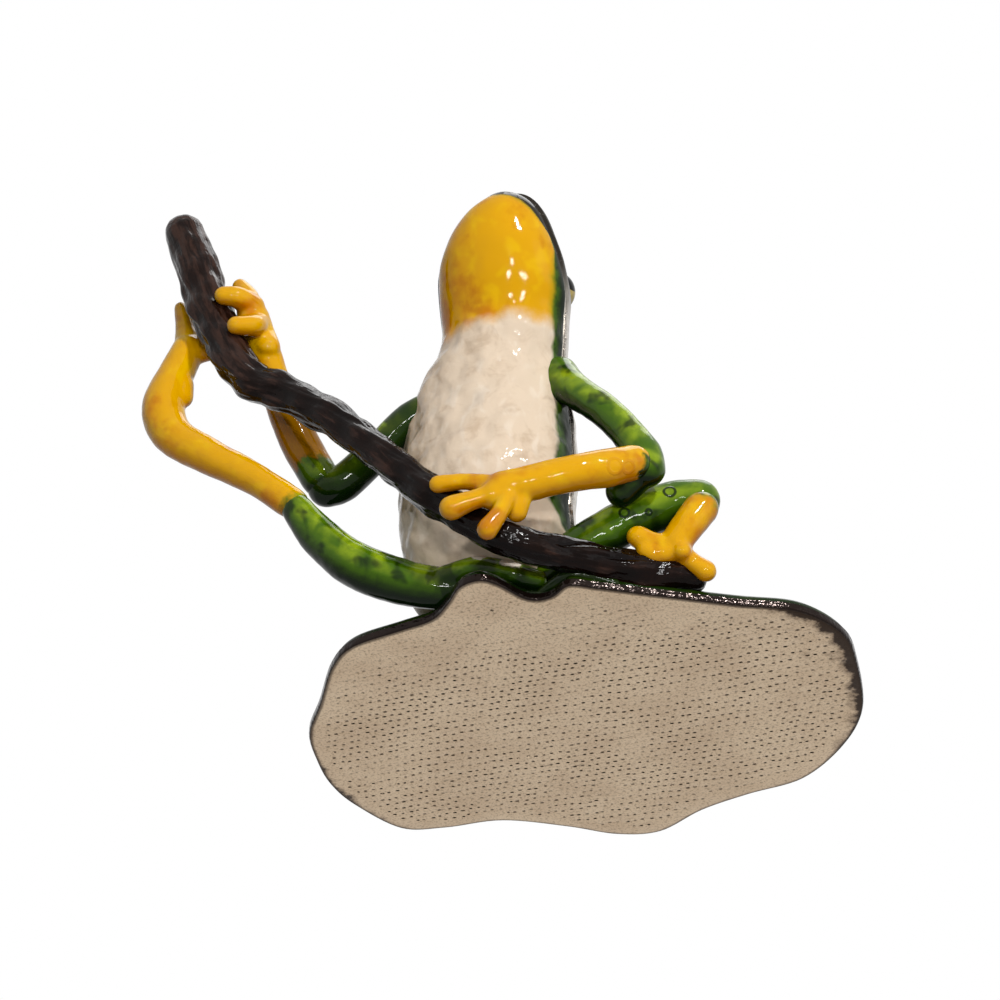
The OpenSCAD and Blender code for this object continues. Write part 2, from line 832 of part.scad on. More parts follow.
leaf_base();
leaf_enamel();
front_shell();
throat_enamel();
belly_enamel();
flank_enamel();
back_lid();
back_enamel();
left_eye();
right_eye();
branch();
left_upper_arm();
left_forearm_and_hand();
right_upper_arm();
right_forearm_and_hand();
left_thigh();
left_shin_and_foot();
right_thigh();
right_shin_and_foot();
hinge_body_leaf();
hinge_lid_leaf();
hinge_pin();
body_magnet();
lid_magnet();
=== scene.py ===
import json
import math

import bmesh
import bpy
import numpy as np
from mathutils import Matrix, Vector, noise
from mathutils.geometry import delaunay_2d_cdt

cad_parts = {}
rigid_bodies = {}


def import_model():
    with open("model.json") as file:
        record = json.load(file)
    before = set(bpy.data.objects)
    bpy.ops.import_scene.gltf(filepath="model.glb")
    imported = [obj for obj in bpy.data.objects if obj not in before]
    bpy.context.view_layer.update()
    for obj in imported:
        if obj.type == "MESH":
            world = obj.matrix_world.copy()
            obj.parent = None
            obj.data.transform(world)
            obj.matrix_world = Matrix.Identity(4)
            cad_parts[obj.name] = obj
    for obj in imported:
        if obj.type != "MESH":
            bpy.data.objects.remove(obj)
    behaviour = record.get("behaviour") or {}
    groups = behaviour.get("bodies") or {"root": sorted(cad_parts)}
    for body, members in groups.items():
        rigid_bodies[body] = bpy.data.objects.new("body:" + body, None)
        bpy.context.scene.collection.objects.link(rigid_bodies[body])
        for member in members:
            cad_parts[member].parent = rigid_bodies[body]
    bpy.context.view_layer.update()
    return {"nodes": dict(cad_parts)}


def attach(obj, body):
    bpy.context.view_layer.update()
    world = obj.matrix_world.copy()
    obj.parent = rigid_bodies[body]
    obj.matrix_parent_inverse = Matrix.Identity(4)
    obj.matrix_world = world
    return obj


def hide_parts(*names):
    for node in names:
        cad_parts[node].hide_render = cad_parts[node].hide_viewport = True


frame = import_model()
mm = 0.001
print("frame loaded:", len(frame["nodes"]), "nodes")


# camera and light

camera = dict(
    azimuth=18, elevation=-37, lens=110, sensor=36, clip=(0.01, 20), distance=381.94, aim=(3.43, -8.53, 12.18),
)


def cameraAxes():
    a, e = math.radians(camera["azimuth"]), math.radians(camera["elevation"])
    back = Vector((math.sin(a) * math.cos(e), -math.cos(a) * math.cos(e), math.sin(e)))
    right = (-back).cross(Vector((0, 0, 1))).normalized()
    return right, right.cross(-back), back


def makeCamera():
    right, up, back = cameraAxes()
    data = bpy.data.cameras.new("photoCamera")
    data.lens, data.sensor_width = camera["lens"], camera["sensor"]
    data.clip_start, data.clip_end = camera["clip"]
    eye = bpy.data.objects.new("photoCamera", data)
    bpy.context.collection.objects.link(eye)
    place = (Vector(camera["aim"]) + back * camera["distance"]) * mm
    eye.matrix_world = Matrix.Translation(place) @ Matrix((right, up, back)).transposed().to_4x4()
    bpy.context.scene.camera = eye


# right, up and back are a lamp's distances in metres along the camera's axes, from the point it aims at
lamps = [
    dict(name="keyLamp", right=0.30, up=0.70, back=0.42, size=0.09, high=0.06, power=4.6),
    dict(name="sideLamp", right=0.60, up=0.30, back=0.30, size=0.40, high=0.40, power=0.30),
    dict(name="windowHigh", right=0.02, up=0.245, back=0.52, size=0.08, high=0.04, power=0.50),
    dict(name="windowLow", right=-0.03, up=0.170, back=0.55, size=0.08, high=0.04, power=0.50),
    dict(name="windowRight", right=0.17, up=0.165, back=0.52, size=0.08, high=0.05, power=0.54),
    dict(name="leftLamp", right=-0.60, up=0.20, back=0.25, size=0.60, high=0.60, power=0.08),
    dict(name="backLamp", right=0.20, up=0.60, back=-0.60, size=0.50, high=0.50, power=1.8),
]
studio = dict(  # height and size in metres, patch and paleFrom in mm
    floorHeight=-0.60, floorSize=8, floorTone=0.86, floorPatch=400, floorRough=0.9, floorPaleFrom=300, floorGlow=0.55,
    worldLight=0.06,
)


def makeLights():
    right, up, back = cameraAxes()
    middle = Vector(camera["aim"]) * mm
    for lamp in lamps:
        data = bpy.data.lights.new(lamp["name"], "AREA")
        data.shape = "ELLIPSE"
        data.size, data.size_y = lamp["size"], lamp["high"]
        data.energy = lamp["power"]
        light = bpy.data.objects.new(lamp["name"], data)
        bpy.context.collection.objects.link(light)
        light.location = middle + right * lamp["right"] + up * lamp["up"] + back * lamp["back"]
        light.rotation_mode = "QUATERNION"
        light.rotation_quaternion = (middle - light.location).to_track_quat("-Z", "Y")


# materials

def tone(r, g, b):  # a colour as it shows on a screen, 0 to 255, for a shader socket
    def lin(v):
        v /= 255
        return v / 12.92 if v <= 0.04045 else ((v + 0.055) / 1.055) ** 2.4
    return lin(r), lin(g), lin(b), 1


def signs(operation):  # an operator that adds its Math node, and its reflected form
    return (lambda wire, other: wire.does(operation, wire, other),
            lambda wire, other: wire.does(operation, other, wire))


class Wire:  # an output socket whose sums and products are Math nodes
    __add__, __radd__ = signs("ADD")
    __sub__, __rsub__ = signs("SUBTRACT")
    __mul__, __rmul__ = signs("MULTIPLY")
    __truediv__, __rtruediv__ = signs("DIVIDE")
    __pow__, __rpow__ = signs("POWER")

    def __init__(self, paint, socket):
        self.paint, self.socket = paint, socket

    def does(self, operation, *values, limit=False):
        return self.paint.add("ShaderNodeMath", {"operation": operation, "use_clamp": limit},
                              dict(enumerate(values)))

    def held(self):  # kept between 0 and 1
        return self.does("ADD", self, 0, limit=True)

    def size(self):  # without its sign
        return self.does("ABSOLUTE", self)

    def step(self, low, high):  # 0 below low, 1 above high, smooth between
        return self.paint.add("ShaderNodeMapRange", {"interpolation_type": "SMOOTHSTEP"},
                              {"Value": self, "From Min": low, "From Max": high})


class Paint:  # the nodes of one procedural material, or of the world
    def __init__(self, name, owner=None):
        self.material = owner or bpy.data.materials.new(name)
        self.material.use_nodes = True
        self.tree = self.material.node_tree
        self.tree.nodes.clear()
        self.where = self.add("ShaderNodeTexCoord", out="Object")

    def add(self, kind, settings=None, inputs=None, out=0):
        made = self.tree.nodes.new(kind)
        for key, value in (settings or {}).items():
            setattr(made, key, value)
        for key, value in (inputs or {}).items():
            if isinstance(value, Wire):
                self.tree.links.new(value.socket, made.inputs[key])
            else:
                made.inputs[key].default_value = value
        return Wire(self, made.outputs[out]) if len(made.outputs) else None

    def noise(self, size, detail=3, rough=0.55, bend=0, where=None):  # size of one patch in mm
        return self.add("ShaderNodeTexNoise", None, {
            "Vector": where or self.where, "Scale": 1 / (size * mm), "Detail": detail, "Roughness": rough,
            "Distortion": bend})

    def stretched(self, x, y, z):  # object coordinates with each axis drawn out
        return self.add("ShaderNodeVectorMath", {"operation": "MULTIPLY"}, {0: self.where, 1: (x, y, z)})

    def axes(self):  # place in mm as three wires
        apart = self.add("ShaderNodeSeparateXYZ", None, {0: self.where})
        return [Wire(self, apart.socket.node.outputs[i]) * (1 / mm) for i in range(3)]

    def told(self, name, out="Fac"):  # a value that the mesh carries at its points
        return self.add("ShaderNodeAttribute", {"attribute_name": name}, out=out)

    def seen(self):  # 1 for the camera, for mirrors and for glass, 0 for the light that falls on things
        camera, glossy, transmission = [self.add("ShaderNodeLightPath", out=kind) for kind in (
            "Is Camera Ray", "Is Glossy Ray", "Is Transmission Ray")]
        return (camera + glossy + transmission).held()

    def mix(self, mask, first, second):  # first where the mask is 0, second where it is 1
        return self.add("ShaderNodeMix", {"data_type": "RGBA"}, {0: mask, 6: first, 7: second}, out=2)

    def bump(self, height, depth, strength=0.8):  # depth in mm
        return self.add("ShaderNodeBump", None, {"Strength": strength, "Distance": depth * mm, "Height": height})

    def away(self, place):  # mm from a place
        return self.add("ShaderNodeVectorMath", {"operation": "DISTANCE"},
                        {0: self.where, 1: Vector(place) * mm}, out="Value") * (1 / mm)

    def near(self, place, inner, outer):  # 1 within inner mm of a place, 0 beyond outer
        return 1 - self.away(place).step(inner, outer)

    def rings(self, places, width):  # 1 on a circle round each place, given as (place, radius)
        total = 0
        for place, radius in places:
            total = 1 - (self.away(place) - radius).size().step(width * 0.4, width) + total
        return total

    def done(self, colour, rough, metal=0.0, normal=None, shine=0.2):
        inputs = {"Base Color": colour, "Roughness": rough, "Metallic": metal, "Specular IOR Level": shine}
        if normal:
            inputs["Normal"] = normal
        shader = self.add("ShaderNodeBsdfPrincipled", None, inputs)
        self.add("ShaderNodeOutputMaterial", None, {"Surface": shader})
        return self.material


# yellowShadow is the colour of the painted shadow on the yellow, and rimReflection of the painted dark reflection at
# the top of the head
enamelTones = dict(
    yellow=tone(222, 162, 0), yellowDeep=tone(190, 104, 0), yellowPale=tone(234, 188, 0),
    yellowShadow=tone(104, 52, 0), green=tone(66, 100, 6), greenDark=tone(8, 26, 4), greenPale=tone(140, 164, 24),
    greenGold=tone(140, 138, 6), white=tone(224, 204, 180), whiteDeep=tone(188, 162, 134),
    whitePale=tone(242, 230, 214), bark=tone(30, 16, 11), barkDark=tone(5, 3, 3), barkPale=tone(84, 58, 48),
    rimReflection=tone(20, 14, 6), eyeGold=tone(206, 184, 120), eyeOlive=tone(160, 138, 66), eyeBlack=tone(2, 2, 2),
)
# shine is how strongly the glass reflects, wave and ripple how wide its unevenness is in mm, and depth how high
enamelFinish = dict(rough=0.06, shine=0.16, wave=2.0, depth=0.05)
frontFinish = dict(rough=0.07, shine=0.13, wave=2.6, ripple=0.9, depth=0.5)
leafFinish = dict(rough=0.09, shine=0.16, wave=0.9, depth=0.05)
barkFinish = dict(rough=0.07, shine=0.10, wave=1.1, ripple=1.0, depth=0.34)
eyeFinish = dict(rough=0.05, shine=0.12)


def glassy(paint, size, depth, raised=None):  # the slightly uneven surface
    wave = paint.noise(size, 2) * 0.8 + paint.noise(size * 0.35, 2) * 0.2
    return paint.bump(wave + raised if raised else wave, depth)


def glazed(paint, colour, finish, normal=None):
    return paint.done(colour, finish["rough"], shine=finish["shine"], normal=normal)


def fired(paint, colour, raised=None):  # the enamel of the limbs and the back
    g = enamelFinish
    return glazed(paint, colour, g, glassy(paint, g["wave"], g["depth"], raised))


def yellowGlass(paint, more=0.0, shade=None):  # more widens the deep patches, and shade paints the lower side deeper orange as painted shade
    t = enamelTones
    patch = (paint.noise(6, 2, 0.5, 0.3) * 0.8 + paint.noise(1.3, 2, 0.5) * 0.2 + more).step(0.50, 0.68)
    pale = paint.noise(3.2, 2, 0.5, 0.4).step(0.50, 0.72)
    colour = paint.mix(pale * 0.6, t["yellow"], t["yellowPale"])
    colour = paint.mix(patch * 0.75, colour, t["yellowDeep"])
    # painted shade: deeper orange where the skin faces down
    if shade:
        colour = paint.mix((1 - shade.step(0.02, 0.46)) * 0.6, colour, t["yellowDeep"])
    return colour


def greenGlass(paint, shade=None, more=0.0):  # shade is 1 where the skin faces up and 0 where it faces down: it paints light on the upper side and shade on the lower side
    t = enamelTones
    dark = (paint.noise(3.2, 2, 0.5, 0.3) + more).step(0.50, 0.66)
    pale = paint.noise(3.8, 2, 0.5, 0.3).step(0.38, 0.64)
    # painted light: the pale green only where the skin faces up
    colour = paint.mix(pale * (shade.step(0.45, 0.85) if shade else 0.5), t["green"], t["greenPale"])
    colour = paint.mix(paint.noise(1.0, 2, 0.6).step(0.45, 0.75) * 0.35, colour, t["green"])
    colour = paint.mix(dark * 0.8, colour, t["greenDark"])
    # painted shade: dark green where the skin faces down
    if shade:
        colour = paint.mix(1 - shade.step(0.18, 0.60), colour, t["greenDark"])
    return colour


def pearlGlass(paint):
    t = enamelTones
    deep = paint.noise(2.8, 3, 0.6, 0.4).step(0.48, 0.74)
    pale = paint.noise(1.9, 2, 0.5, 0.6, paint.stretched(1, 1, 0.6)).step(0.5, 0.72)
    colour = paint.mix(deep * 0.55, t["white"], t["whiteDeep"])
    return paint.mix(pale * 0.35, colour, t["whitePale"])


def frontPaint(name):  # yellow throat, pearl belly and green flank, each running softly into the next
    paint, t, g = Paint(name), enamelTones, frontFinish
    x, y, z = paint.axes()
    tongue = (1 - ((x - body["tongueAt"]) / body["tongueHalf"]) ** 2).held() * 0.7 + x.step(4, 11) * 0.9
    drift = (paint.noise(2.2, 3) - 0.5) * 1.9
    throat = (z - tongue + drift).step(body["throat"] - 1.2, body["throat"] + 1.2)
    # the enamel's own deep orange patches, grown towards the throat's left side as painted shade, turned from the
    # light
    paintedShade = (3.5 - x).step(-1, 8) * 0.16 - 0.05
    colour = paint.mix(throat, pearlGlass(paint), yellowGlass(paint, paintedShade))
    band = paint.told("band") + (paint.noise(2.4, 2) - 0.5) * 0.35  # 0 at the seam, 1 where the green ends
    colour = paint.mix((1 - band.step(0.8, 1.35)) * throat * 0.8, colour, t["greenGold"])
    green = paint.mix(band.step(0.35, 1.0), t["greenDark"], t["green"])
    green = paint.mix(paint.noise(1.5, 2).step(0.42, 0.66) * 0.7, green, t["greenDark"])
    # painted dark reflection: the green turns near-black at the top of the head, between the two heights of body
    # brown
    green = paint.mix(z.step(*body["brown"]), green, t["rimReflection"])
    colour = paint.mix(1 - band.step(0.82, 1.08), colour, green)
    wave = paint.noise(g["wave"], 1) * 0.88 + paint.noise(g["ripple"], 2) * 0.12
    return glazed(paint, colour, g, paint.bump(wave * (1 - throat * 0.92), g["depth"]))


def greenPaint(name, rings=(), shaded=True, litPearl=(), more=0.0):  # cream lists spots of belly pearl, as (place, radius): its own colour, painted only where light falls on it
    paint, t = Paint(name), enamelTones
    colour = greenGlass(paint, paint.told("shade") if shaded else None, more)
    raised = paint.rings(rings, 0.24) if rings else None
    if rings:
        colour = paint.mix(raised.held() * 0.9, colour, t["greenDark"])
    # partly painted light: pearl only in the spots where light falls
    for place, radius in litPearl:
        drift = (paint.noise(0.9, 2) - 0.5) * 0.8
        spot = 1 - (paint.away(place) + drift).step(radius - 0.15, radius + 0.15)
        colour = paint.mix(spot, colour, t["whitePale"])
    return fired(paint, colour, raised)


def yellowPaint(name, joint, inner, outer, rings=(), paintedShade=0.0):  # the green of the upper limb runs over the joint; burnt paints the shadow of the branch over it
    paint, t = Paint(name), enamelTones
    shade = paint.told("shade")
    drift = (paint.noise(1.3, 2) - 0.5) * 2.4
    over = 1 - (paint.away(joint) + drift).step(inner, outer)
    colour = yellowGlass(paint, -0.03 if paintedShade else 0.0, shade)
    if paintedShade:  # painted shadow of the branch: browner towards the joint
        colour = paint.mix(paint.near(joint, outer + 4, outer + 14) * 0.75, colour, t["yellowShadow"])
    raised = paint.rings(rings, 0.3) if rings else None
    if rings:
        colour = paint.mix(raised.held() * 0.25, colour, t["yellowDeep"])
    # with painted shade, the green over the joint gets more dark patches too
    colour = paint.mix(over, colour, greenGlass(paint, shade, paintedShade))
    return fired(paint, colour, raised)


def leafPaint(name):
    paint, t, g = Paint(name), enamelTones, leafFinish
    colour = paint.mix(paint.told("vein").step(0.15, 0.85) * 0.75, greenGlass(paint), t["greenPale"])
    colour = paint.mix(paint.told("edge").step(0, 0.6) * 0.92, colour, t["greenDark"])
    return glazed(paint, colour, g, paint.bump(paint.noise(g["wave"], 3, 0.6), g["depth"]))


def barkPaint(name):
    paint, t, g = Paint(name), enamelTones, barkFinish
    groove, grain = paint.told("groove"), paint.told("grain", "Vector")
    patch = paint.noise(2.4, 4, 0.65, 0.8).step(0.45, 0.7)
    colour = paint.mix((groove * 0.7 + patch * 0.4).held(), t["barkDark"], t["bark"])
    streak = paint.noise(0.9, 3, 0.6, 0.3, grain) * (groove + 0.4)
    colour = paint.mix(streak.step(0.54, 0.86) * 0.42, colour, t["barkPale"])
    wave = paint.noise(g["wave"], 2, 0.5, 0.2, grain) * 0.75 + paint.noise(g["ripple"], 2) * 0.25
    return glazed(paint, colour, g, paint.bump(wave, g["depth"], 0.9))


def eyePaint(name):
    paint, t = Paint(name), enamelTones
    gold = paint.mix(paint.noise(0.5, 3, 0.6), t["eyeGold"], t["eyeOlive"])
    colour = paint.mix(paint.told("look").step(0.56, 0.6), gold, t["eyeBlack"])
    return glazed(paint, colour, eyeFinish)


metals = dict(  # pale and dark tones, share of dark stains, and gloss
    pewter=dict(pale=tone(196, 190, 182), dark=tone(30, 24, 14), stained=0.6, rough=0.24),
    steel=dict(pale=tone(208, 204, 198), dark=tone(92, 82, 72), stained=0.3, rough=0.2),
    nickel=dict(pale=tone(206, 206, 208), dark=tone(120, 118, 116), stained=0.2, rough=0.16),
    footGold=tone(196, 166, 112),
)


def castPaint(name, metal, reflectedFrom=None, foot=False):
    paint, m = Paint(name), metals[metal]
    grain = paint.noise(1.9, 5, 0.7, 0.5) * 0.7 + paint.noise(0.5, 2) * 0.3
    stain = grain.step(0.62 - m["stained"] * 0.24, 0.8) * m["stained"]
    if reflectedFrom:  # dark above this height as a painted dark reflection, but for a few bright spots
        darkReflection = paint.axes()[2].step(reflectedFrom - 4, reflectedFrom + 4) * (1 - grain.step(0.60, 0.66)) * 0.95
        stain = stain.does("MAXIMUM", stain, darkReflection)
    colour = paint.mix(stain, m["pale"], m["dark"])
    if foot:  # the foot of the box keeps a gold tone
        top = body["seat"] + body["foot"]
        colour = paint.mix(1 - paint.axes()[2].step(top - 0.6, top + 0.6), colour, metals["footGold"])
    return paint.done(colour, stain * 0.25 + m["rough"], 1 - stain * 0.9, glassy(paint, 0.8, 0.05), 0.04)


undersideTones = dict(
    pale=tone(237, 214, 184), warm=tone(224, 199, 169), speck=tone(158, 132, 106), grain=tone(150, 122, 94),
    smudge=tone(120, 96, 76), scratch=tone(88, 66, 50), dot=tone(26, 15, 8), patina=tone(96, 72, 56),
    patinaDark=tone(44, 30, 24), rim=tone(60, 46, 36), side=tone(34, 24, 20),
)


def undersidePaint(name):  # satin cast metal: pale and warm, brown-black towards the rim and in each punched dot
    paint, t = Paint(name), undersideTones
    x, y = paint.axes()[:2]
    rim = paint.told("rim")
    colour = paint.mix(paint.noise(11, 3, 0.6).step(0.35, 0.7), t["pale"], t["warm"])
    colour = paint.mix(paint.noise(0.7, 2, 0.7).step(0.50, 0.75) * 0.30, colour, t["speck"])
    colour = paint.mix(paint.noise(0.34, 2, 0.6).step(0.48, 0.70) * 0.55, colour, t["grain"])
    colour = paint.mix(paint.noise(2.0, 5, 0.75).step(0.60, 0.72) * 0.4, colour, t["smudge"])
    scratch = paint.noise(1.1, 3, 0.6, 1.5, paint.stretched(0.16, 1, 1)).step(0.68, 0.74)
    colour = paint.mix(scratch * 0.7, colour, t["scratch"])
    colour = paint.mix(paint.told("pit").step(0.05, 0.55) * 0.97, colour, t["dot"])
    ends = (x + 1.5 - 0.1 * y).size()  # distance from the leaf's middle towards either end
    deep = rim + (ends - leaf["patinaFrom"]) * 0.09 + (paint.noise(3.0, 5, 0.7) - 0.5) * 2.4
    late = ends.step(*leaf["patinaEnds"])
    colour = paint.mix(deep.step(0.20, 0.75) * late * 0.5, colour, t["patina"])
    colour = paint.mix(deep.step(0.60, 0.95) * late * 0.92, colour, t["patinaDark"])
    colour = paint.mix(rim.step(0.70, 0.86) * 0.75, colour, t["rim"])
    side = rim.step(0.86, 0.95)
    colour = paint.mix(side, colour, t["side"])
    normal = glassy(paint, 0.8, 0.04, paint.noise(1.0, 2) * side * 5)
    return paint.done(colour, 0.48 - side * 0.36, 0.85 - side * 0.35, normal)


# shapes

def meshPiece(name, points, faces):  # points in mm
    mesh = bpy.data.meshes.new(name)
    mesh.from_pydata((np.array(points, float) * mm).tolist(), [], faces)
    mesh.update()
    piece = bpy.data.objects.new(name, mesh)
    bpy.context.collection.objects.link(piece)
    return piece


def ringsPiece(name, rings):  # closed skin through rings of the same count
    n = len(rings[0])
    faces = [[i * n + k, i * n + (k + 1) % n, (i + 1) * n + (k + 1) % n, (i + 1) * n + k]
             for i in range(len(rings) - 1) for k in range(n)]
    faces.append(list(range(n))[::-1])
    faces.append([(len(rings) - 1) * n + k for k in range(n)])
    return meshPiece(name, np.concatenate(rings), faces)


def bake(piece):  # the piece's modifiers become its mesh
    mesh = bpy.data.meshes.new_from_object(piece.evaluated_get(bpy.context.evaluated_depsgraph_get()))
    piece.modifiers.clear()
    piece.data = mesh
    return piece


def combine(piece, tool, way, keepTool=False):  # way is UNION, DIFFERENCE or INTERSECT
    cut = piece.modifiers.new(way, "BOOLEAN")
    cut.operation, cut.object, cut.solver = way, tool, "EXACT"
    bake(piece)
    if not keepTool:
        bpy.data.objects.remove(tool)
    return piece


def copyOf(piece):
    twin = piece.copy()
    twin.data = piece.data.copy()
    bpy.context.collection.objects.link(twin)
    return twin


def joined(name, parts):
    shape = bmesh.new()
    for part in parts:
        shape.from_mesh(part.data)
        bpy.data.objects.remove(part)
    mesh = bpy.data.meshes.new(name)
    shape.to_mesh(mesh)
    shape.free()
    piece = bpy.data.objects.new(name, mesh)
    bpy.context.collection.objects.link(piece)
    return piece


def fused(piece, voxel, factor, times):  # overlapping forms melt into one casting
    melt = piece.modifiers.new("melt", "REMESH")
    melt.mode, melt.voxel_size = "VOXEL", voxel * mm
    soft = piece.modifiers.new("soft", "SMOOTH")
    soft.factor, soft.iterations = factor, times
    return bake(piece)


def hammered(piece, amount, size, seed):  # each point moves along its normal by noise, in mm
    mesh = piece.data
    normals = [v.normal.copy() for v in mesh.vertices]
    shift = Vector((seed, seed * 1.7, 3.1))
    for v, n in zip(mesh.vertices, normals):
        p = v.co / mm
        h = noise.noise(p / size + shift) * 0.7 + noise.noise(p / (size * 0.4) + shift) * 0.3
        v.co += n * (h * amount * mm)
    mesh.update()


def smoothShade(piece, angle=40):
    piece.data.shade_smooth()
    if angle < 180:
        piece.data.set_sharp_from_angle(angle=math.radians(angle))
    return piece


def carry(piece, name, value):  # a number at each point, from its place in mm
    mesh = piece.data
    field = mesh.attributes.new(name, "FLOAT", "POINT")
    field.data.foreach_set("value", [float(value(v.co / mm)) for v in mesh.vertices])


def dress(piece, material, body, slot, *nodes):
    piece.data.materials.clear()
    piece.data.materials.append(material)
    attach(piece, body)
    if nodes:
        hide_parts(*nodes)


def curvePart(a, b, c, d, steps):  # a smooth curve from b to c that comes from a and goes on to d
    t = np.arange(steps)[:, None] / steps
    return 0.5 * (2 * b + (c - a) * t + (2 * a - 5 * b + 4 * c - d) * t ** 2 + (3 * b - a - 3 * c + d) * t ** 3)


def along(points, steps):  # smooth curve through points, with as many steps between each two
    p = np.array(points, float)
    p = np.vstack([2 * p[0] - p[1], p, 2 * p[-1] - p[-2]])
    return np.vstack([curvePart(*four, steps) for four in zip(p, p[1:], p[2:], p[3:])] + [p[-2:-1]])


def loopOf(points, steps):  # the same for a closed outline
    p = np.array(points, float)
    return np.vstack([curvePart(*four, steps) for four in zip(*(np.roll(p, k, 0) for k in (1, 0, -1, -2)))])


roundEnd = (20, 40, 60, 80)  # degrees at which a tube's round end has its rings


def tube(name, line, radii, sides=20, steps=6, relief=None):  # relief(turn, length) adds a share of the radius
    path = along([list(p) + [r] for p, r in zip(line, radii)], steps)
    centres, sizes = [Vector(p[:3]) for p in path], [float(p[3]) for p in path]
    lengths = [0.0]
    for a, b in zip(centres, centres[1:]):
        lengths.append(lengths[-1] + (b - a).length)
    last = len(centres) - 1
    ahead = [(centres[min(i + 1, last)] - centres[max(i - 1, 0)]).normalized() for i in range(last + 1)]
    side = ahead[0].cross(Vector((0.3, 0.2, 0.93))).normalized()
    rings = []

    def ring(centre, forward, size, length):
        other = forward.cross(side)
        turn = [2 * math.pi * k / sides for k in range(sides)]
        reach = [size * (1 + (relief(a, length) if relief else 0)) for a in turn]
        rings.append([tuple(centre + side * (math.cos(a) * r) + other * (math.sin(a) * r))
                      for a, r in zip(turn, reach)])

    for lean in roundEnd[::-1]:
        a = math.radians(lean)
        ring(centres[0] - ahead[0] * (sizes[0] * math.sin(a)), ahead[0], sizes[0] * math.cos(a), 0)
    for centre, forward, size, length in zip(centres, ahead, sizes, lengths):
        side = (side - forward * side.dot(forward)).normalized()
        ring(centre, forward, size, length)
    for lean in roundEnd:
        a = math.radians(lean)
        ring(centres[-1] + ahead[-1] * (sizes[-1] * math.sin(a)), ahead[-1], sizes[-1] * math.cos(a), lengths[-1])
    return ringsPiece(name, rings)


def block(low, high):
    (a, b, c), (d, e, f) = low, high
    return ringsPiece("block", [[(a, b, z), (d, b, z), (d, e, z), (a, e, z)] for z in (c, f)])


def drum(radius, low, high, sides=40):
    turns = [2 * math.pi * k / sides for k in range(sides)]
    return ringsPiece("drum", [[(radius * math.cos(a), radius * math.sin(a), z) for a in turns] for z in (low, high)])


def ball(place, radius, sides=48):
    x, y, z = place
    turns = [2 * math.pi * k / sides for k in range(sides)]
    rings = []
    for i in range(sides // 2):
        t = math.pi * (i + 0.5) / (sides // 2)
        rings.append([(x + radius * math.sin(t) * math.cos(a), y + radius * math.sin(t) * math.sin(a),
                       z - radius * math.cos(t)) for a in turns])
    return ringsPiece("ball", rings)


# the hollow body, front shell and lid

body = dict(
    half=11.7, tall=57, seat=2.1, wall=1.3, glaze=0.35, foot=0.9, frontEdge=0.45, flank=1.5, rim=1.2, rimRise=0.3,
    fine=(150, 140), plain=(60, 72), roomy=(80, 90),  # rows and columns of the forms
    throat=40.2, tongueAt=5.6, tongueHalf=2.4, brown=(49, 53), reflectionHeight=46,  # places and heights of the paint; above brown and reflectionHeight the top is painted dark, as a dark reflection
    lumps=0.42, lumpSize=2.8, lumpFine=1.3, lumpsTo=41, throatLumps=0.2, backLumps=0.25, plainSeam=1.2, plainFoot=3.4,
    crownFrom=0.982, crownLength=0.018, crownTurn=2.2, crownDrop=0.72,  # how the top of the head rounds off
    # width of the green beside the seam, on the near side and on the far side
    bandHeights=[8, 12, 16, 24, 30, 36, 46, 48, 50, 52, 54, 56, 58],
    bandWidths=[4.0, 4.4, 4.9, 4.0, 3.5, 2.8, 3.0, 2.3, 1.2, 0.7, 1.9, 2.5, 4],
    farWidths=[0.5, 0.5, 0.5, 0.5, 0.5, 0.5, 0.5, 0.5, 0.5, 0.5, 0.6, 1.5, 4],
    # the body's form: shares of its height, then shares of its half width at each
    heights=[0, 0.036, 0.119, 0.199, 0.318, 0.462, 0.566, 0.656, 0.713, 0.77, 0.832, 0.8875, 0.936, 0.974, 1],
    middles=[0.214, 0.171, 0.103, 0.068, 0.026, -0.026, -0.103, -0.239, -0.376, -0.547, -0.709, -0.838, -0.94,
             -1.009, -1.06],
    sways=[-0.043, -0.085, -0.111, -0.111, -0.094, -0.055, -0.02, 0.15, 0.234, 0.286, 0.3, 0.334, 0.397, 0.461,
           0.463],
    widths=[0.6, 0.82, 0.91, 0.95, 1, 0.96, 0.87, 0.74, 0.714, 0.736, 0.713, 0.626, 0.495, 0.293, 0.082],
    fronts=[0.3, 0.43, 0.68, 0.82, 0.87, 0.8, 0.735, 0.667, 0.615, 0.615, 0.615, 0.564, 0.464, 0.31, 0.12],
    backs=[0.45, 0.65, 0.79, 0.84, 0.855, 0.82, 0.77, 0.718, 0.667, 0.667, 0.632, 0.547, 0.42, 0.27, 0.11],
    seams=[0.03, 0.03, 0.03, 0.03, 0.03, 0.03, 0.03, 0.03, 0.03, 0.04, 0.08, 0.12, 0.15, 0.15, 0.06],
)
# these stand as they do in the part's source, in mm
hinge = dict(x=-1.3, y=12.208, z=11.1, knuckle=1.15, half=4.85, reach=3.4, gap=0.25)
closing = dict(gap=0.15, lipGap=0.3, lip=0.7, reach=1.1, root=1.8, height=32.08, lift=0.43)
magnet = dict(radius=1.5, thick=1.2, sunk=0.1, gap=0.05, wall=0.7)
eyes = dict(
    radius=2.8, brow=0.75, proud=1.5, gap=0.03, apart=5.265, front=1.802, height=50.55, gaze=(0.72, -0.42, 0.56),
)

sections = np.array([body[k] for k in ("middles", "sways", "widths", "fronts", "backs")]).T * body["half"]
sectionHeights = np.array(body["heights"]) * body["tall"] + body["seat"]


def headMiddle(z):
    return float(np.interp(z, sectionHeights, sections[:, 1]))


def seamPoint(i):
    return (body["middles"][i] - body["seams"][i]) * body["half"], sectionHeights[i] + closing["lift"]


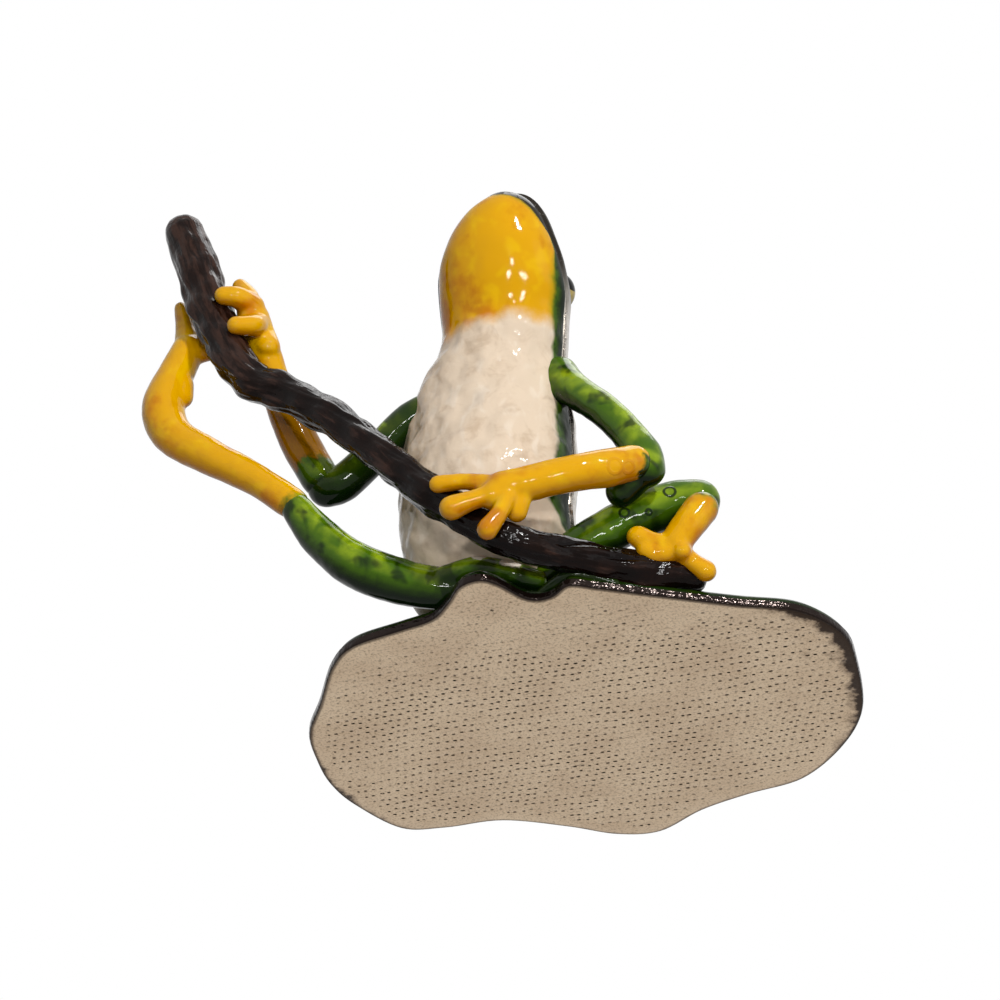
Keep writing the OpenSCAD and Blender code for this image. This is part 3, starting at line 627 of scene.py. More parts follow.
def smoothTable(heights, values):  # a curve through the table that never overshoots it
    h, d = np.diff(heights), np.diff(values, axis=0) / np.diff(heights)[:, None]
    w1, w2 = (2 * h[1:] + h[:-1])[:, None], (h[1:] + 2 * h[:-1])[:, None]
    same = d[1:] * d[:-1] > 0
    inner = np.where(same, (w1 + w2) / (w1 / np.where(same, d[:-1], 1) + w2 / np.where(same, d[1:], 1)), 0)
    slope = np.vstack([d[:1], inner, d[-1:]])

    def at(z):
        i = int(np.clip(np.searchsorted(heights, z) - 1, 0, len(h) - 1))
        t = (z - heights[i]) / h[i]
        a, b, m, n = values[i], values[i + 1], slope[i] * h[i], slope[i + 1] * h[i]
        return ((2 * t ** 3 - 3 * t ** 2 + 1) * a + (t ** 3 - 2 * t ** 2 + t) * m
                + (3 * t ** 2 - 2 * t ** 3) * b + (t ** 3 - t ** 2) * n)
    return at


sectionAt = smoothTable(sectionHeights, sections)


def bodyLump(p):  # the belly is hammered, the throat nearly smooth, the seam and the foot plain
    b, front = body, seamY(p.z) - p.y
    away = min(1, max(0, front - b["plainSeam"]) / 2) if front > 0 else b["backLumps"]
    keep = 1 if p.z < b["lumpsTo"] else max(b["throatLumps"], 1 - (p.z - b["lumpsTo"]) / 4)
    wave = noise.noise(p / b["lumpSize"]) * 0.75 + noise.noise(p / b["lumpFine"]) * 0.25
    return wave * b["lumps"] * away * keep * min(1, max(0, p.z - b["plainFoot"]) / 2)


def bodyForm(name, grow=0.0, plain=None):  # plain gives the rows and columns of a form without lumps
    rows, columns = plain or body["fine"]
    rings = []
    for s in np.linspace(0, 1, rows):
        z = body["seat"] + s * body["tall"]
        y, x, w, f, b = sectionAt(z)
        top = max(0.0, (s - body["crownFrom"]) / body["crownLength"])
        shrink = math.sqrt(max(0.0, 1 - top ** body["crownTurn"] * body["crownDrop"]))
        ring = []
        for k in range(columns):
            a = 2 * math.pi * k / columns
            depth = b if math.sin(a) > 0 else f
            p = Vector((x + max(w * shrink + grow, 0.05) * math.cos(a),
                        y + max(depth * shrink + grow, 0.05) * math.sin(a), z + grow * (2 * s - 1)))
            if not plain:
                p += Vector((math.cos(a), math.sin(a), 0)) * bodyLump(p)
            ring.append(tuple(p))
        rings.append(ring)
    return ringsPiece(name, rings)


def seamCurve():  # the seam seen from the side, as (y, z), from the hinge up to the top of the head
    half, low = body["half"], hinge["z"]
    turn = [(60, low), (20, low), (0.75 * half, low), (0.43 * half, low + 0.15), (0.19 * half, low + 0.14 * half),
            (-0.02 * half, low + 0.42 * half)]
    return along(turn + [seamPoint(i) for i in range(4, 15)], 4)


seamLine = seamCurve()


def seamY(z):
    return float(np.interp(z, seamLine[8:, 1], seamLine[8:, 0]))


def lidBlock(shift=0.0):  # all that lies behind the seam, moved by shift towards the front
    step = np.gradient(seamLine, axis=0)
    out = np.stack([-step[:, 1], step[:, 0]], 1) / np.linalg.norm(step, axis=1)[:, None]
    out = np.where(out[:, :1] > 0, -out, out)
    out[:3] = (0, -1)
    line = seamLine + out * shift
    outline = [(float(y), float(z)) for y, z in line] + [(float(line[-1][0]), 120.0), (60.0, 120.0)]
    return ringsPiece("lidBlock", [[(x, y, z) for y, z in outline[::-1]] for x in (-40, 40)])


def atMagnets(piece, way):  # square to the seam, half way between two of its turns; way is -1 in the lid
    (lowY, lowZ), (highY, highZ) = seamPoint(10), seamPoint(12)
    y, z = (lowY + highY) / 2, (lowZ + highZ) / 2
    tilt = math.atan2(lowY - highY, highZ - lowZ) + math.pi / 2
    place = Matrix.Translation(Vector((headMiddle(z), y, z)) * mm) @ Matrix.Rotation(tilt, 4, "X")
    piece.data.transform(place @ Matrix.Diagonal((1, 1, way, 1)))
    if way < 0:
        piece.data.flip_normals()
    return piece


def magnetBoss(way, gap=0.0):
    return atMagnets(drum(magnet["radius"] + magnet["wall"] + gap, 0, body["tall"]), way)


def magnetPocket(way):
    return atMagnets(drum(magnet["radius"] + magnet["gap"], -0.5, magnet["sunk"] + magnet["thick"]), way)


def hingePad(way):  # way is -1 for the pad on the shell and 1 for the pad on the lid
    top, front = hinge["z"], hinge["y"] - hinge["knuckle"] - hinge["gap"] / 2
    low, high = (top - hinge["reach"], top + 0.5) if way < 0 else (top - 0.5, top + hinge["reach"])
    left, right = hinge["x"] - hinge["half"], hinge["x"] + hinge["half"]
    return block((left, front - hinge["reach"], low), (right, front, high))


def eyePlace(side):
    return Vector((headMiddle(eyes["height"]) + side * eyes["apart"], -eyes["front"], eyes["height"]))


def browBall(side):
    p, sunk = eyePlace(side), eyes["proud"]
    return ball((p.x - side * sunk, p.y - sunk / 2, p.z - sunk / 2), eyes["radius"] + eyes["brow"], 40)


def above(z):  # all that is higher than z
    return block((-60, -60, z), (60, 60, 140))


print("body: whole form and its layers")
whole = bodyForm("whole")
under = bodyForm("under", -body["glaze"])
inside = bodyForm("inside", -body["wall"] - body["glaze"], body["plain"])
skin = combine(copyOf(whole), under, "DIFFERENCE", True)
frontSkin = combine(copyOf(skin), lidBlock(body["frontEdge"]), "DIFFERENCE")
flankTool = lidBlock(body["frontEdge"] + body["flank"])
throatTool = above(body["throat"])
flank = combine(copyOf(frontSkin), flankTool, "INTERSECT", True)
fieldSkin = combine(frontSkin, flankTool, "DIFFERENCE")
throat = combine(copyOf(fieldSkin), throatTool, "INTERSECT", True)
belly = combine(fieldSkin, throatTool, "DIFFERENCE")
combine(belly, above(body["seat"] + body["foot"]), "INTERSECT")
for piece in (belly, flank):
    combine(piece, hingePad(-1), "DIFFERENCE")


def greenBand(p):  # distance from the seam as a share of the green's width, which is least on the far side
    widths = body["bandWidths" if p.x > headMiddle(p.z) else "farWidths"]
    return (seamY(p.z) - p.y) / float(np.interp(p.z, body["bandHeights"], widths))


for piece, name, slot, node in ((throat, "throatEnamel", "yellow_enamel", "throat_enamel"),
                                (belly, "bellyEnamel", "pearl_enamel", "belly_enamel"),
                                (flank, "flankEnamel", "green_enamel", "flank_enamel")):
    piece.name = name
    carry(piece, "band", greenBand)
    dress(smoothShade(piece, 50), frontPaint(name + "Paint"), "frog_on_leaf", slot, node)

print("body: front shell with its foot, lip and magnet boss")
edgeBand = combine(copyOf(whole), lidBlock(body["frontEdge"]), "INTERSECT")
foot = combine(copyOf(whole), above(body["seat"] + body["foot"]), "DIFFERENCE")
shell = combine(copyOf(under), edgeBand, "UNION")
combine(shell, foot, "UNION")
combine(shell, hingePad(-1), "UNION")
lipIn = -body["wall"] - body["glaze"] - closing["lipGap"] - closing["lip"]
hollow = combine(copyOf(inside), lidBlock(closing["root"]), "DIFFERENCE")
combine(hollow, bodyForm("lipRoom", lipIn, body["plain"]), "UNION")
combine(hollow, magnetBoss(1), "DIFFERENCE")
combine(shell, hollow, "DIFFERENCE")
combine(shell, lidBlock(), "DIFFERENCE")
lip = bodyForm("lip", lipIn + closing["lip"], body["plain"])
combine(lip, lidBlock(closing["root"] / 2), "INTERSECT")
combine(lip, lidBlock(-closing["reach"]), "DIFFERENCE")
combine(lip, above(closing["height"]), "INTERSECT")
combine(lip, bodyForm("lipInside", lipIn, body["plain"]), "DIFFERENCE")
combine(lip, magnetBoss(-1, closing["lipGap"]), "DIFFERENCE")
combine(shell, lip, "UNION")
combine(shell, magnetPocket(1), "DIFFERENCE")
shell.name = "frontShell"
shellPaint = castPaint("frontShellPaint", "pewter", body["reflectionHeight"], foot=True)
dress(smoothShade(shell), shellPaint, "frog_on_leaf", "cast_metal", "front_shell")

print("body: lid with its rim, brows and enamel")
lid = copyOf(under)
rim = combine(bodyForm("rim", body["rimRise"]), lidBlock(-closing["gap"] - body["rim"]), "DIFFERENCE")
combine(lid, rim, "UNION")
for side in (-1, 1):
    combine(lid, browBall(side), "UNION")
combine(lid, hingePad(1), "UNION")
room = combine(copyOf(inside), magnetBoss(-1), "DIFFERENCE")
for side in (-1, 1):
    combine(room, browBall(side), "DIFFERENCE")
combine(lid, room, "DIFFERENCE")
combine(lid, lidBlock(-closing["gap"]), "INTERSECT")
combine(lid, magnetPocket(-1), "DIFFERENCE")
for side in (-1, 1):
    combine(lid, ball(eyePlace(side), eyes["radius"] + eyes["gap"]), "DIFFERENCE")
lid.name = "backLid"
dress(smoothShade(lid), castPaint("backLidPaint", "pewter", body["reflectionHeight"]), "lid", "cast_metal", "back_lid")

backEnamel = combine(skin, lidBlock(-closing["gap"] - body["rim"]), "INTERSECT")
combine(backEnamel, hingePad(1), "DIFFERENCE")
for side in (-1, 1):
    combine(backEnamel, browBall(side), "DIFFERENCE")
backEnamel.name = "backEnamel"
backPaint = greenPaint("backEnamelPaint", shaded=False)
dress(smoothShade(backEnamel, 50), backPaint, "lid", "green_enamel", "back_enamel")

print("eyes")
for side, name, node in ((1, "leftEye", "left_eye"), (-1, "rightEye", "right_eye")):
    middle, (across, ahead, up) = eyePlace(side), eyes["gaze"]
    gaze = Vector((side * across, ahead, up)).normalized()
    eye = ball(middle, eyes["radius"], 64)
    eye.name = name
    carry(eye, "look", lambda p: (p - middle).normalized().dot(gaze))
    dress(smoothShade(eye, 180), eyePaint(name + "Paint"), "lid", "eye_enamel", node)


# limbs

arms = dict(  # each limb and digit as its points and its shares of the radius at them
    radius=2.4, palm=2.1, finger=1.2,
    leftArm=([[9.6, -2.5, 35.3], [11, -3.6, 32.7], [12.8, -4.4, 30.1], [16.2, -5, 26.1], [18.7, -4.9, 22.5],
              [21, -4.7, 18.2], [21.4, -4.7, 15.6]], [1.1, 1, 0.94, 0.9, 0.92, 1, 1.04]),
    leftShoulder=([[9.9, -2.6, 35.2], [10.1, -3.3, 31.7]], [0.96, 0.78]),
    leftElbow=([[20.9, -4.6, 15.4], [17.8, -3.4, 13.9]], [0.9, 0.86]),
    leftForearm=([[20.4, -6.8, 15.3], [17.6, -8.8, 13.7], [13.4, -10.9, 12.2], [8.7, -12.6, 10.7], [5.4, -13.8, 9.6]],
                 [0.93, 1.02, 0.97, 0.96, 0.94]),
    leftPalm=[[5.6, -13.4, 10.2], [4.4, -14.2, 8.6]],
    leftFingers=[([[5.2, -14, 9.8], [1.2, -14.6, 11.2], [-2.5, -15.2, 11.2]], [1.25, 0.92, 0.95]),
                 ([[5.2, -14, 9.1], [2.7, -15, 8], [-0.5, -15.6, 6.8]], [1.25, 1.05, 1.35]),
                 ([[6.2, -13.8, 8.7], [5.5, -14.8, 5.4], [3.9, -15, 3]], [1.25, 0.95, 1.15]),
                 ([[7.4, -12.8, 10], [7.2, -12.6, 8.4], [6.8, -12.3, 7]], [1.25, 1.3, 1.2])],
    rightArm=([[-6.5, -4.4, 32.8], [-10.1, -4.6, 31.4], [-14.7, -4, 27.7], [-19.5, -3.4, 24.2], [-21.9, -3.6, 23.6]],
              [0.95, 0.95, 0.98, 1.06, 1.08]),
    rightForearm=([[-22.6, -4.4, 24.8], [-24.7, -5.6, 29.2], [-26.2, -7.6, 33.4], [-27.4, -9.8, 37.8],
                   [-28.2, -11.8, 41.8], [-29.3, -13.8, 46.4]], [1.08, 1.1, 1.04, 0.88, 0.86, 0.88]),
    rightPalm=[[-29.4, -13.8, 45.2], [-29.8, -14.2, 48.2]],
    rightFingers=[([[-29.4, -14.3, 47.4], [-30.1, -14.7, 49.6], [-31.1, -14.9, 51.4]], [1.5, 1.25, 0.95]),
                  ([[-29.3, -14.6, 47.6], [-30.4, -17, 47.6], [-32, -17.9, 47.6]], [1.5, 1.25, 1.1]),
                  ([[-28.6, -13.6, 45.2], [-28.4, -16, 43], [-30, -17.8, 42]], [1.4, 1.2, 1.05]),
                  ([[-28.6, -13.2, 44.2], [-28.2, -12.6, 43.4], [-27.4, -12.8, 41.6]], [1.4, 1.5, 1.4])],
)
legs = dict(
    radius=2.5, toe=1.2,
    leftThigh=([[6.6, 0, 5.8], [10.6, -0.4, 8.2], [14.2, 0.2, 10.5], [18.8, 1.2, 12.9], [23, 2.4, 14.8],
                [26.2, 2.9, 14.9]], [0.95, 1.06, 1.16, 1.22, 1.2, 1.1]),
    leftShin=([[26.8, 1.3, 12.4], [25.2, 0.8, 9.9], [23.5, 0.7, 7.5]], [0.9, 0.86, 0.8]),
    leftToes=[([[23.2, 0.6, 6.8], [20.9, -0.3, 7.3], [19.1, -1, 8.1]], [1.3, 1.15, 1.25]),
              ([[22.8, 0.6, 6.2], [20.9, 0, 5.8], [19.9, -0.4, 6.3]], [1.25, 1.15, 1.1]),
              ([[23.9, 0.7, 6.8], [24.1, 0.5, 6.3], [24.3, 0.3, 5.7]], [1.15, 1.1, 1.05]),
              ([[23.8, 1.6, 6.2], [25.4, 2.2, 4.8], [26.6, 2.9, 3.9]], [1.2, 1.05, 1.2])],
    rightThigh=([[5.2, 0, 3.8], [-0.1, -1.2, 4.4], [-6.3, -2.9, 4.5], [-11.8, -4.5, 6], [-17, -6.2, 8.6],
                 [-21.2, -7.8, 12.9], [-23.6, -9, 16.5]], [0.95, 1, 1.1, 1.18, 1.18, 1.02, 0.84]),
    rightGroin=([[-5, -4.2, 5], [-0.8, -4.1, 5.5], [3.4, -3.3, 4.2], [6, -1.8, 3.8]], [0.66, 0.66, 0.66, 0.6]),
    rightShin=([[-24.2, -9.2, 17.5], [-29.6, -10.4, 22.1], [-35.9, -11.5, 26.6], [-40.2, -12.2, 30.1],
                [-42, -12.6, 34.2], [-41.5, -12.6, 38.2], [-40.3, -12.3, 41.8], [-39.4, -12.1, 44.6]],
               [0.84, 0.86, 0.98, 1.08, 1.16, 1.04, 0.94, 0.88]),
    rightToes=[([[-39.4, -12.1, 44.6], [-39.9, -12.2, 48.6], [-40.8, -12.4, 52.2]], [1.6, 1.2, 0.75]),
               ([[-39.3, -12, 44.2], [-37.6, -11.7, 44.6], [-36.2, -11.3, 44.6]], [1.5, 1.45, 1.2]),
               ([[-40.2, -12.2, 40.4], [-39.9, -12.2, 38.6], [-39.7, -12.1, 36.8]], [1.3, 1.45, 1.3])],
)
marks = dict(  # raised rings in the enamel, and pearl spots painted where light falls on the groin, as (place, radius)
    forearm=[((19.0, -10.4, 12.5), 0.97), ((20.3, -9.1, 13.0), 0.8)],
    thigh=[((23.3, -0.6, 14.6), 0.72), ((17.7, -2.0, 11.5), 0.6), ((20.6, -1.0, 11.7), 0.35)],
    litPearl=[((-0.4, -5.1, 6.5), 0.95), ((3.1, -4.6, 5.2), 0.95), ((4.0, -4.4, 4.8), 0.8)],
)
greenEnds = dict(  # where the upper limb's green runs out: place, and the distances between which it fades
    leftHand=((22.1, -5.2, 14.9), 2.2, 3.0), rightHand=((-22.6, -4.6, 23.6), 3.4, 4.2),
    leftFoot=((27.2, 2.4, 14.6), 2.4, 4.2), rightFoot=((-23.0, -8.7, 15.8), 2.2, 3.6),
)
limbSkin = dict(  # how the joined tubes are meshed, smoothed and hammered, and where the light comes from for the painted light and shade on the limbs
    voxel=0.26, factor=0.6, times=5, lumps=0.12, lumpSize=2.8, paintedLightFrom=(0.25, -0.5, 0.83),
)


def limbTubes(table, *names):
    return [tube("limb", table[name][0], [table["radius"] * share for share in table[name][1]]) for name in names]


def digitTubes(digits, radius):  # fingers or toes
    return [tube("digit", line, [radius * share for share in shares], 14, 8) for line, shares in digits]


def handTubes(forearm, palm, fingers):
    palms = [tube("palm", arms[palm], [arms["palm"], arms["palm"] * 0.9])]
    return limbTubes(arms, forearm) + palms + digitTubes(arms[fingers], arms["finger"])


def limbPiece(name, node, slot, parts, material, seed, tools=(), lumps=limbSkin["lumps"]):
    piece = fused(joined(name, parts), limbSkin["voxel"], limbSkin["factor"], limbSkin["times"])
    hammered(piece, lumps, limbSkin["lumpSize"], seed)
    for tool in tools:
        combine(piece, tool(), "DIFFERENCE")
    # painted light and shade: how much each point of the skin faces the light
    paintedLightFrom = Vector(limbSkin["paintedLightFrom"])
    lightShares = iter([0.5 + 0.5 * v.normal.dot(paintedLightFrom) for v in piece.data.vertices])
    carry(piece, "shade", lambda p: next(lightShares))
    dress(smoothShade(piece, 60), material, "frog_on_leaf", slot, node)


print("arms and legs")
lidRoom = bodyForm("lidRoom", body["rimRise"] + closing["lipGap"], body["roomy"])
combine(lidRoom, lidBlock(closing["lipGap"]), "INTERSECT")
trim = [lambda: copyOf(whole)]
lidTrim = trim + [lambda: copyOf(lidRoom)]
limbPiece("leftUpperArm", "left_upper_arm", "green_enamel", limbTubes(arms, "leftArm", "leftShoulder", "leftElbow"),
          greenPaint("limbGreen", more=-0.04), 1, lidTrim)
# the right upper arm's many dark patches (more=0.22) are painted shade of the branch
limbPiece("rightUpperArm", "right_upper_arm", "green_enamel", limbTubes(arms, "rightArm"),
          greenPaint("rightArmShadedGreen", more=0.22), 2, lidTrim)
limbPiece("leftForearmAndHand", "left_forearm_and_hand", "yellow_enamel",
          handTubes("leftForearm", "leftPalm", "leftFingers"),
          yellowPaint("leftHandYellow", *greenEnds["leftHand"], marks["forearm"]), 3, trim)
# the right forearm lies in the branch's shadow, painted into its yellow and green
limbPiece("rightForearmAndHand", "right_forearm_and_hand", "yellow_enamel",
          handTubes("rightForearm", "rightPalm", "rightFingers"),
          yellowPaint("rightHandShadedYellow", *greenEnds["rightHand"], paintedShade=0.1), 4, lumps=0.07)
limbPiece("leftThigh", "left_thigh", "green_enamel", limbTubes(legs, "leftThigh"),
          greenPaint("leftThighGreen", marks["thigh"], more=-0.05), 5, trim)
limbPiece("rightThigh", "right_thigh", "green_enamel", limbTubes(legs, "rightThigh", "rightGroin"),
          greenPaint("rightThighGreen", litPearl=marks["litPearl"]), 6, trim)
limbPiece("leftShinAndFoot", "left_shin_and_foot", "yellow_enamel",
          limbTubes(legs, "leftShin") + digitTubes(legs["leftToes"], legs["toe"]),
          yellowPaint("leftFootYellow", *greenEnds["leftFoot"]), 7)
limbPiece("rightShinAndFoot", "right_shin_and_foot", "yellow_enamel",
          limbTubes(legs, "rightShin") + digitTubes(legs["rightToes"], legs["toe"]),
          yellowPaint("rightFootYellow", *greenEnds["rightFoot"]), 8)


# branch

branch = dict(
    radius=2.3, skin=0.99, sides=72, steps=22,
    line=[[-39.1, -16.46, 61.7], [-37.1, -16, 55.6], [-35.5, -15.5, 49.5], [-32.6, -15, 41.6], [-28.7, -14.5, 35],
          [-23.3, -14.2, 31.2], [-16.4, -13.8, 25.2], [-8.3, -13.2, 16.3], [-3.1, -12.6, 10.8], [5.3, -10.1, 4.5],
          [13, -3.4, 4.3], [20.2, 1.8, 4.2], [24.2, 4.4, 4.3]],
    shares=[1.2, 1.24, 1.24, 1.14, 1.16, 1.06, 1.02, 1.02, 1, 0.96, 1, 1.04, 0.94],
    groove=0.11, knots=0.2, twist=0.055, endRelief=0.25, endLength=8, valley=0.82, relief=0.36, grain=0.2,
)


def barkRelief(turn, length):  # long ridges that turn about the stick, and knots; the top end is smooth
    a = turn + length * branch["twist"]
    c, s = math.cos(a) * 1.5, math.sin(a) * 1.5

    def wave(across, drawn, start=0):
        return noise.noise(Vector((c * across, s * across, length / drawn + start)))
    relief = (wave(1.7, 9) + 0.45 * wave(3.4, 5, 7)) * branch["groove"] + wave(0.8, 3.2, 20) * branch["knots"]
    return relief * min(1, branch["endRelief"] + length / branch["endLength"])


print("branch")
radii = [branch["radius"] * share * branch["skin"] for share in branch["shares"]]
stick = tube("branch", branch["line"], radii, branch["sides"], branch["steps"], barkRelief)
core = along(branch["line"], branch["steps"])


def barkHeight(p):  # how far a point stands out from the branch's middle line
    d = np.linalg.norm(core - np.array(p), axis=1).min() / branch["radius"]
    return max(0.0, min(1.0, (d - branch["valley"]) / branch["relief"]))


carry(stick, "groove", barkHeight)
# the grain is each point's place, drawn together along the branch
grain = stick.data.attributes.new("grain", "FLOAT_VECTOR", "POINT")
for v, mark in zip(stick.data.vertices, grain.data):
    middle = core[np.linalg.norm(core - np.array(v.co / mm), axis=1).argmin()]
    mark.vector = v.co - Vector(middle) * mm * (1 - branch["grain"])
dress(smoothShade(stick, 180), barkPaint("branchBark"), "frog_on_leaf", "bark_enamel", "branch")


# leaf stand

leaf = dict(
    half=37.3, trim=0.16, thick=1.2, glaze=0.9, bead=0.45, veinRise=0.35, veinHalf=0.9, curl=0.8,
    # the punched dots, the row of dashes inside the front margin, and the dark rim of the underside
    dotRows=(-10, 48), dotColumns=(-32, 40), pitAcross=1.14, pitDown=1.42, pitRadius=0.29, pitDeep=0.18, stray=0.2,
    depths=(0.4, 1), widths=(0.9, 1.35), margin=2.1,
    lineIn=4.6, lineStep=0.9, lineClear=0.75, dashDeep=0.45, dashWide=1.2,
    rimFade=2.2, patinaFrom=34.5, patinaEnds=(20, 34),
    # the enamel's points and its slight unevenness
    gridRows=(-20, 96), gridColumns=(-54, 62), grain=0.7, grainIn=1.25, wave=0.08, edgeFade=1.6,
    plateLevels=[(0.32, 0), (0.1, 0.1), (0, 0.35), (0.03, 0.75), (0.0, 1.0), (0.2, 1.2), (0.8, 1.2)],
    outline=[[-0.885, 0.643], [-0.847, 0.461], [-0.743, 0.292], [-0.622, 0.088], [-0.509, -0.013], [-0.322, -0.054],
             [-0.204, -0.08], [-0.129, -0.145], [-0.054, -0.23], [0.027, -0.247], [0.083, -0.198], [0.147, -0.094],
             [0.217, -0.083], [0.295, -0.129], [0.391, -0.08], [0.59, 0.035], [0.804, 0.155], [0.992, 0.255],
             [1.099, 0.429], [1.105, 0.617], [1.059, 0.912], [0.938, 1.126], [0.751, 1.295], [0.536, 1.34],
             [0.349, 1.394], [0.161, 1.493], [0, 1.464], [-0.161, 1.354], [-0.375, 1.239], [-0.59, 1.223],
             [-0.751, 1.174], [-0.858, 0.965], [-0.893, 0.804]],
    curlLine=[[0.16, -0.04, -0.6], [0.22, -0.06, 0.2], [0.29, -0.09, 0.5], [0.36, -0.065, 0.2], [0.43, -0.03, -0.6]],
    curlShares=[0.7, 1, 1, 0.95, 0.7],
    veins=[[[0.03, 0.42], [0.1, 1.25]], [[0.04, 0.5], [0.62, 0.3]], [[0.05, 0.62], [0.86, 0.62]],
           [[0.07, 0.8], [0.8, 1]], [[0.09, 1], [0.5, 1.2]], [[0.03, 0.5], [-0.55, 0.3]],
           [[0.04, 0.62], [-0.72, 0.65]], [[0.06, 0.8], [-0.68, 1]], [[0.08, 1], [-0.3, 1.15]]],
)


def insetLoop(loop, inset):
    step = np.roll(loop, -1, 0) - np.roll(loop, 1, 0)
    inward = np.stack([-step[:, 1], step[:, 0]], 1) / np.linalg.norm(step, axis=1)[:, None]
    return loop + inward * inset


leafEdge = insetLoop(loopOf(leaf["outline"], 8) * leaf["half"], leaf["trim"])


def fromEdge(points, loop):  # distance from an outline to each point, positive inside
    a, b = loop, np.roll(loop, -1, 0)
    out = np.empty(len(points))
    for i in range(0, len(points), 400):
        p = points[i:i + 400, None, :]
        t = np.clip(((p - a) * (b - a)).sum(2) / ((b - a) ** 2).sum(1), 0, 1)
        near = np.sqrt((((a + (b - a) * t[..., None]) - p) ** 2).sum(2)).min(1)
        cross = ((a[:, 1] > p[..., 1]) != (b[:, 1] > p[..., 1])) & (
            p[..., 0] < (b[:, 0] - a[:, 0]) * (p[..., 1] - a[:, 1]) / (b[:, 1] - a[:, 1] + 1e-12) + a[:, 0])
        out[i:i + 400] = np.where(cross.sum(1) % 2 == 1, near, -near)
    return out


def filled(loop, points):  # triangles that fill an outline through the points inside it
    flat = [Vector(p) for p in loop.tolist()] + [Vector(p) for p in points.tolist()]
    made = delaunay_2d_cdt(flat, [], [list(range(len(loop)))], 1, 1e-7)
    origin = [o[0] if o else -1 for o in made[3]]
    return [tuple(v) for v in made[0]], [list(f) for f in made[2]], origin


def platePiece(name, levels, flatPoints, height):
    # levels are (inset, height) rings from the fine face's edge to the plain face; height(p) lifts the fine face
    n = len(leafEdge)
    loops = [np.column_stack([insetLoop(leafEdge, inset), np.full(n, z)]) for inset, z in levels]
    verts, faces, origin = filled(loops[0][:, :2], flatPoints)
    first = {o: i for i, o in enumerate(origin) if 0 <= o < n}
    edge = set(first.values())
    points = [(v[0], v[1], levels[0][1] + (0 if i in edge else height(v))) for i, v in enumerate(verts)]
    base = [first[k] for k in range(n)]
    for loop in loops[1:]:
        new = list(range(len(points), len(points) + n))
        points += [tuple(p) for p in loop]
        faces += [[base[k], base[(k + 1) % n], new[(k + 1) % n], new[k]] for k in range(n)]
        base = new
    faces.append(base)
    piece = meshPiece(name, points, faces)
    shape = bmesh.new()
    shape.from_mesh(piece.data)
    bmesh.ops.recalc_face_normals(shape, faces=shape.faces)
    shape.to_mesh(piece.data)
    shape.free()
    return piece


def inwards(piece):  # distance of each of its points from the leaf's edge, in order
    return iter(fromEdge(np.array([[v.co.x / mm, v.co.y / mm] for v in piece.data.vertices]), leafEdge).tolist())


print("leaf stand: underside with its punched dots")
dots, rnd = [], np.random.default_rng(5)
across, down, stray = leaf["pitAcross"], leaf["pitDown"], leaf["stray"]
for j in range(*leaf["dotRows"]):
    for i in range(*leaf["dotColumns"]):
        wave = 0.7 * math.sin(i * 0.12) + 0.5 * math.sin(i * 0.05 + j * 0.35)
        x = i * across + (j % 2) * across / 2 + rnd.uniform(-stray, stray)
        dots.append((x, j * down + wave + rnd.uniform(-stray, stray)))
dots = np.array(dots)
dots = dots[fromEdge(dots, leafEdge) > leaf["margin"]]


def punched(x, y):  # how deep a dot is struck: faint towards the front margin, uneven elsewhere
    front = min(1.0, max(0.35, (y + 3) / 16))
    uneven = max(0.3, min(1.0, 0.78 + 0.8 * noise.noise(Vector((x / 6, y / 5, 2)))))
    return front * uneven * rnd.uniform(*leaf["depths"])


deep = np.array([punched(x, y) for x, y in dots])
stretch = rnd.uniform(*leaf["widths"], len(dots))
line = insetLoop(leafEdge, leaf["lineIn"])  # a row of short dashes follows the front margin
line = line[(line[:, 1] < 14) & (line[:, 0] > -8) & (np.abs(fromEdge(line, leafEdge) - leaf["lineIn"]) < 0.1)]
dashes = [line[0]]
for spot in line:
    if np.linalg.norm(spot - dashes[-1]) > leaf["lineStep"]:
        dashes.append(spot)
dashes = np.array([spot for spot in dashes if np.linalg.norm(dots - spot, axis=1).min() > leaf["lineClear"]])
dots = np.vstack([dots, dashes])
deep = np.append(deep, np.full(len(dashes), leaf["dashDeep"]))
stretch = np.append(stretch, np.full(len(dashes), leaf["dashWide"]))
pitPoints, pitOf = [], {}
for (x, y), d, wide in zip(dots, deep, stretch):
    for radius, value in ((0, 1), (0.6, 0.9), (1, 0)):
        for k in range(1 if radius == 0 else 6):
            a = k * math.pi / 3 + radius
            point = (x + wide * leaf["pitRadius"] * radius * math.cos(a),
                     y + 0.9 * leaf["pitRadius"] * radius * math.sin(a))
            pitPoints.append(point)
            pitOf[round(point[0], 4), round(point[1], 4)] = value * d


def pitAt(p):
    return pitOf.get((round(p[0], 4), round(p[1], 4)), 0.0)


leafPlate = platePiece("leafBase", leaf["plateLevels"], np.array(pitPoints), lambda p: leaf["pitDeep"] * pitAt(p))
plateIn = inwards(leafPlate)
carry(leafPlate, "rim", lambda p: 1 - min(1, max(0, next(plateIn)) / leaf["rimFade"]) if p.z < 0.2 else 1)
carry(leafPlate, "pit", lambda p: pitAt(p) if p.z < 0.2 else 0)
dress(smoothShade(leafPlate, 50), undersidePaint("leafBasePaint"), "frog_on_leaf", "cast_metal", "leaf_base")

print("leaf stand: enamel with its veins")
grid = np.array([(i * leaf["grain"] + (j % 2) * leaf["grain"] / 2, j * leaf["grain"] * 0.87)
                 for i in range(*leaf["gridColumns"]) for j in range(*leaf["gridRows"])])
grid = grid[fromEdge(grid, leafEdge) > leaf["grainIn"]]


